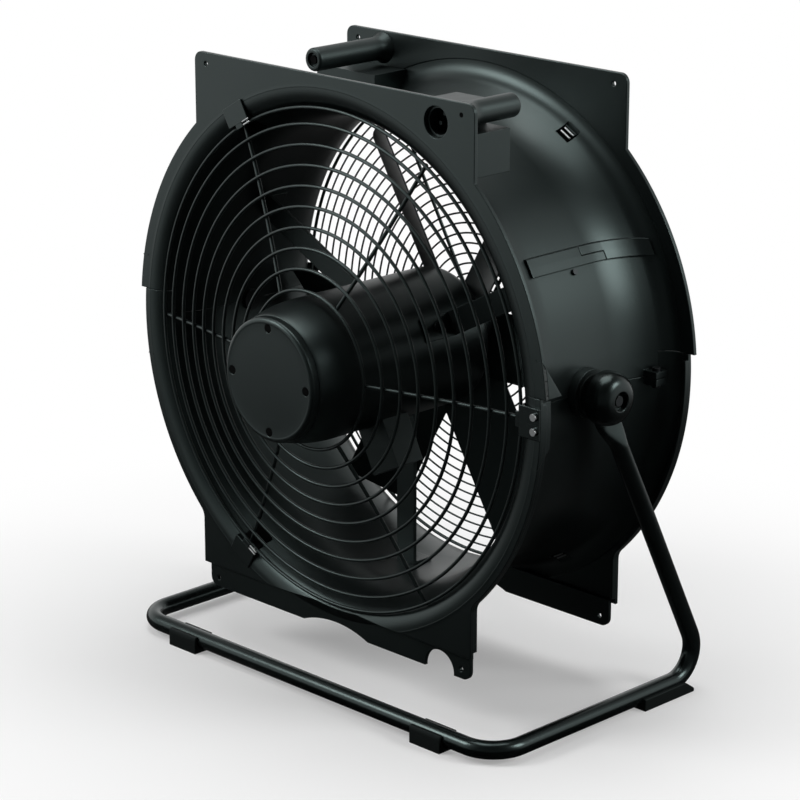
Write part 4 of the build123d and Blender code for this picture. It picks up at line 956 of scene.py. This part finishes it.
# %% feet
FLOOR_RISE, SADDLE_R, SADDLE_X = -335.2, 12.2, 176.0
bar = (FRONT_BAR, BAR_RISE)
low_z, back_y = FLOOR_RISE, FRONT_BAR + SADDLE_R
saddle = [(FRONT_BAR - SADDLE_R, low_z), (back_y, low_z), (back_y, BAR_RISE)]
saddle += arc(bar, SADDLE_R, 0, 24.2, 4)[1:] + arc(bar, TUBE_R + 0.1, 33.3, -213.3, 30)
saddle += arc(bar, SADDLE_R, 155.8, 180, 4)
pad = [(62.0, FLOOR_RISE), (137.0, FLOOR_RISE), (137.0, -331.4), (124.0, -322.4), (62.0, -322.4)]
for side_name, hand in SIDES:
    for name, node, outline, x, half_w, edge in (
            ("front_foot_saddle_", "front_foot_", saddle, SADDLE_X, 20.5, 0.8),
            ("rear_foot_pad_", "rear_foot_", rounded(pad, 1.6), STAND_X, 12.0, 0.9)):
        mesh = bmesh.new()
        sheet(mesh, outline, hand * x - half_w, hand * x + half_w, edge, along_x=True)
        finished(name + side_name, mesh, "stand", [node + side_name], FOOT_RUBBER)

# %% [markdown]
# ## Blades and hub
# Six pressed blades of one cambered section stand out from the hub. Each is a wall between two grids
# that thins to its edges, rounds off at the tip and curves away from the motor's case at its root.


# %% rotor
PITCH, HALF_CHORD, CAMBER, THICK = math.radians(33.1), 34.2, 3.0, 2.4
FIRST_BLADE, BLADE_MIDDLE = 121.0, Vector((64.3, -4.6))  # direction, and depth and offset of the chord
HUB_R, MOTOR_CLEAR_R, TIP_R, BLADE_STEPS = 45.4, 72.4, 223.0, 24
HALF_CHORDS = [0.0, 0.3, 0.55, 0.75, 0.88, 0.95, 0.985, 1.0]
CHORDS = [-c for c in reversed(HALF_CHORDS[1:])] + HALF_CHORDS


def blade(name, node, angle):
    """One blade, from the middle of its chord at this angle."""
    along = Vector((-math.sin(PITCH), -math.cos(PITCH)))
    across = Vector((math.cos(PITCH), -math.sin(PITCH)))

    def at(side, k, c):
        thick = THICK * max(1 - c * c, 0.0) ** 0.16 if abs(c) < 1 else 0.5
        bulge = CAMBER * (1 - c * c) + side * thick
        spot = BLADE_MIDDLE + along * (HALF_CHORD * c) + across * bulge
        beside_motor = min(max((56.0 - spot.x) / 6.0, 0.0), 1.0)
        root = HUB_R + (MOTOR_CLEAR_R - HUB_R) * beside_motor
        radius = root + (TIP_R - 5.0 * abs(c) ** 10 - root) * k / BLADE_STEPS
        return spun(angle) @ place(math.sqrt(radius ** 2 - spot.y ** 2), spot.x, spot.y)

    mesh = bmesh.new()
    slab(mesh, at, (-0.5, 0.5), range(BLADE_STEPS + 1), CHORDS)
    finished(name, mesh, "rotor", [node], BLADE_COAT, crease=50)


for k in range(6):
    blade("fan_blade_" + str(k + 1), "blade_" + str(k + 1), FIRST_BLADE + 60.0 * k)
hub = [(15.0, 54.0), (15.0, 78.0), (40.0, 78.0), (43.0, 76.0), (43.0, 54.5), (43.5, 54.0)]
hub += [(45.6, 54.0), (46.0, 54.5)] + arc((38.0, 80.0), 8.0, 0, 90, 8) + [(6.2, 88.0), (6.2, 54.0)]
finished("fan_hub", turn(hub), "rotor", ["impeller_hub"], BLADE_COAT)

# %% [markdown]
# ## Guard clips
# A flat tab bridges from the plate over the rolled flare to the guard's edge wire. A zinc-plated spring of
# two wires hooks the guard to it. Only these wires are bright, so they are a piece of their own, and so
# are the pockets behind the windows, whose near black is painted shade.


# %% clips and springs
POCKET_DEPTHS = (84.0, 100.6)
TAB_HALF_W, TAB_END, TAB_FACE, TAB_BACK = 15.3, 272.7, 108.3, 106.32


def pocket(mesh, angle, way):
    """A pocket behind a window of the flare, coloured near black as painted shade, which keeps the window dark."""
    near, far = POCKET_DEPTHS
    steps = [way * (near + (far - near) * k / 5) for k in range(6)]
    slab(mesh, lambda offset, turned, y: spun(turned) @ place(skin_radius(y, offset), y, 0), (-1.6, 0.05),
         (angle - 2.6, angle, angle + 2.6), steps, 0.3)


def clip_plate(mesh, angle, start, way):
    """The flat tab of a clip on its plate, from this radius outwards."""
    corners = [(start, -TAB_HALF_W), (TAB_END, -TAB_HALF_W), (TAB_END, TAB_HALF_W), (start, TAB_HALF_W)]
    sheet(mesh, rounded(corners, 1.6), way * TAB_FACE, way * TAB_BACK, 0.5, spin=angle)


tabs, springs, rear_tabs, pockets = bmesh.new(), bmesh.new(), bmesh.new(), bmesh.new()
for angle, side in ((120, -11.0), (240, 11.0)):
    clip_plate(tabs, angle, 252.2, -1)
    tab(tabs, angle, (252.2, 254.0), (-TAB_HALF_W, TAB_HALF_W), (-107.6, -96.0), 0.4)
    tab(tabs, angle, (247.2, 253.0), (-5.0, 5.0), (-TAB_FACE, -106.5), 0.4)
    pocket(pockets, angle, -1)
    for radius in (247.6, 251.0):
        tab(springs, angle, (radius, radius + 2.0), (side - 5.5, side + 5.5), (-108.4, -106.4), 0.8)
    tab(springs, angle, (247.6, 256.5), (side - 1.2, side + 1.0), (-106.4, -104.6), 0.8)
for angle in (60, 180, 300):
    clip_plate(rear_tabs, angle, 245.2, 1)
    tab(rear_tabs, angle, (252.2, 254.0), (-8.0, 8.0), (96.0, 107.6), 0.4)
    if angle != 180:  # the clip at nine o'clock has no window
        pocket(pockets, angle, 1)
        for depth in (90.6, 94.6):
            r = skin_radius(depth, WALL)
            tab(springs, angle, (r - 1.6, r + 0.4), (-7.0, 7.0), (depth - 0.9, depth + 0.9), 0.8)
finished("front_clip_tabs", tabs, "head", ["front_guard_clips"], SATIN_BLACK)
finished("rear_clip_tabs", rear_tabs, "head", ["rear_guard_clips"], SATIN_BLACK)
# The pockets are sheets of painted shade behind the windows.
finished("clip_pockets_painted_shade", pockets, "head", [], PAINTED_SHADE_BLACK)
finished("clip_springs", springs, "head", [], ZINC)

# %% [markdown]
# ## Floor and light
# The floor is plain and nearly white, the backdrop white. Light Path lets the camera and glass see pure
# white while the lamps light the object at a plain level. Black paint shows little but what it mirrors:
# here a white horizon and far floor, a darker floor near the fan and a darker side of the room where
# the camera stands. Soft lamps above, at the back right and at the front left draw the light lines
# along the rims.


# %% floor and lights
CAMERA_SIDE = (0.707, -0.707, 0.0)
RAMP, SMOOTH = "ShaderNodeMapRange", {"interpolation_type": "SMOOTHSTEP"}


def dark_side(tree, way):
    """1 all round, falling to a low value towards the side of the room where the camera stands."""
    toward = add_node(tree, "ShaderNodeVectorMath", {"operation": "DOT_PRODUCT"}, i0=way, i1=CAMERA_SIDE)
    return add_node(tree, RAMP, SMOOTH, Value=toward.outputs["Value"], From_Min=0.15, From_Max=0.75,
                    To_Min=1.0, To_Max=0.12)


def make_floor():
    """A plain pale floor that keeps the shadow and turns into the white backdrop far from the fan."""
    mesh = bpy.data.meshes.new("floor")
    half = 12.0
    corners = [(-half, -half, 0), (half, -half, 0), (half, half, 0), (-half, half, 0)]
    mesh.from_pydata(corners, [], [(0, 1, 2, 3)])
    floor = new_object("floor", mesh)
    # Matt painted board: pale, so that it holds the shadow, and almost without a highlight.
    material, tree, shader = new_material("pale_studio_floor")
    fill(shader, Base_Color=linear("#f0f0f0"), Roughness=0.6, Specular_IOR_Level=0.2)
    spot = add_node(tree, "ShaderNodeTexCoord").outputs["Object"]
    away = add_node(tree, "ShaderNodeVectorMath", {"operation": "LENGTH"}, i0=spot).outputs["Value"]
    path = add_node(tree, "ShaderNodeLightPath").outputs
    fade = add_node(tree, RAMP, SMOOTH, Value=away, From_Min=0.2, From_Max=0.75, To_Min=0.30, To_Max=1.0)
    seen = add_node(tree, MATH, {"operation": "MAXIMUM"}, i0=path["Is Camera Ray"],
                    i1=path["Is Transmission Ray"])
    share = add_node(tree, MATH, TIMES, i0=fade, i1=seen)
    white = add_node(tree, "ShaderNodeEmission")
    plain = add_node(tree, "ShaderNodeMixShader", i0=share, i1=shader, i2=white)
    sheen = add_node(tree, RAMP, SMOOTH, Value=away, From_Min=0.9, From_Max=2.2, To_Min=0.04, To_Max=1.0)
    way = add_node(tree, "ShaderNodeVectorMath", {"operation": "NORMALIZE"}, i0=spot)
    far_white = add_node(tree, MATH, TIMES, i0=sheen, i1=dark_side(tree, way))
    glow = add_node(tree, "ShaderNodeEmission", Strength=far_white)
    whole = add_node(tree, "ShaderNodeMixShader", i0=path["Is Glossy Ray"], i1=plain, i2=glow)
    fill(tree.nodes["Material Output"], Surface=whole)
    mesh.materials.append(material)


def make_world(light_strength):
    """White to the camera and glass, a white horizon to reflections, a faint even light to the rest."""
    world = bpy.data.worlds.new("studio")
    bpy.context.scene.world = world
    world.use_nodes = True
    tree = world.node_tree
    path = add_node(tree, "ShaderNodeLightPath").outputs
    way = add_node(tree, "ShaderNodeTexCoord").outputs["Generated"]
    rise = add_node(tree, "ShaderNodeSeparateXYZ", i0=way).outputs["Z"]
    height = add_node(tree, RAMP, SMOOTH, Value=rise, From_Min=0.25, From_Max=0.9, To_Min=1.0, To_Max=0.15)
    horizon = add_node(tree, MATH, TIMES, i0=height, i1=dark_side(tree, way))
    seen = add_node(tree, MATH, {"operation": "MAXIMUM"}, i0=path["Is Camera Ray"],
                    i1=path["Is Transmission Ray"])
    plain = add_node(tree, RAMP, Value=seen, To_Min=light_strength, To_Max=1.0)
    strength = add_node(tree, RAMP, Value=path["Is Glossy Ray"], To_Min=plain, To_Max=horizon)
    fill(tree.nodes["Background"], Color=(1, 1, 1, 1), Strength=strength)


def make_lamp(name, spot, size, power):
    """A square soft box that points at the middle of the fan."""
    lamp = new_object(name, bpy.data.lights.new(name, "AREA"))
    lamp.data.size = size
    lamp.data.energy = power
    lamp.location = spot
    middle = Vector((0, 0, 0.3))
    lamp.rotation_euler = (middle - Vector(spot)).to_track_quat("-Z", "Y").to_euler()


make_floor()
make_world(0.015)
make_lamp("top_soft_box", (-0.3, 0.2, 3.0), 2.0, 50)
make_lamp("right_soft_box", (2.6, 1.2, 1.9), 1.2, 46)
make_lamp("left_soft_box", (-1.7, -2.0, 2.2), 1.2, 50)
bpy.context.scene.view_settings.view_transform = "Standard"
print("floor, world and three lamps")
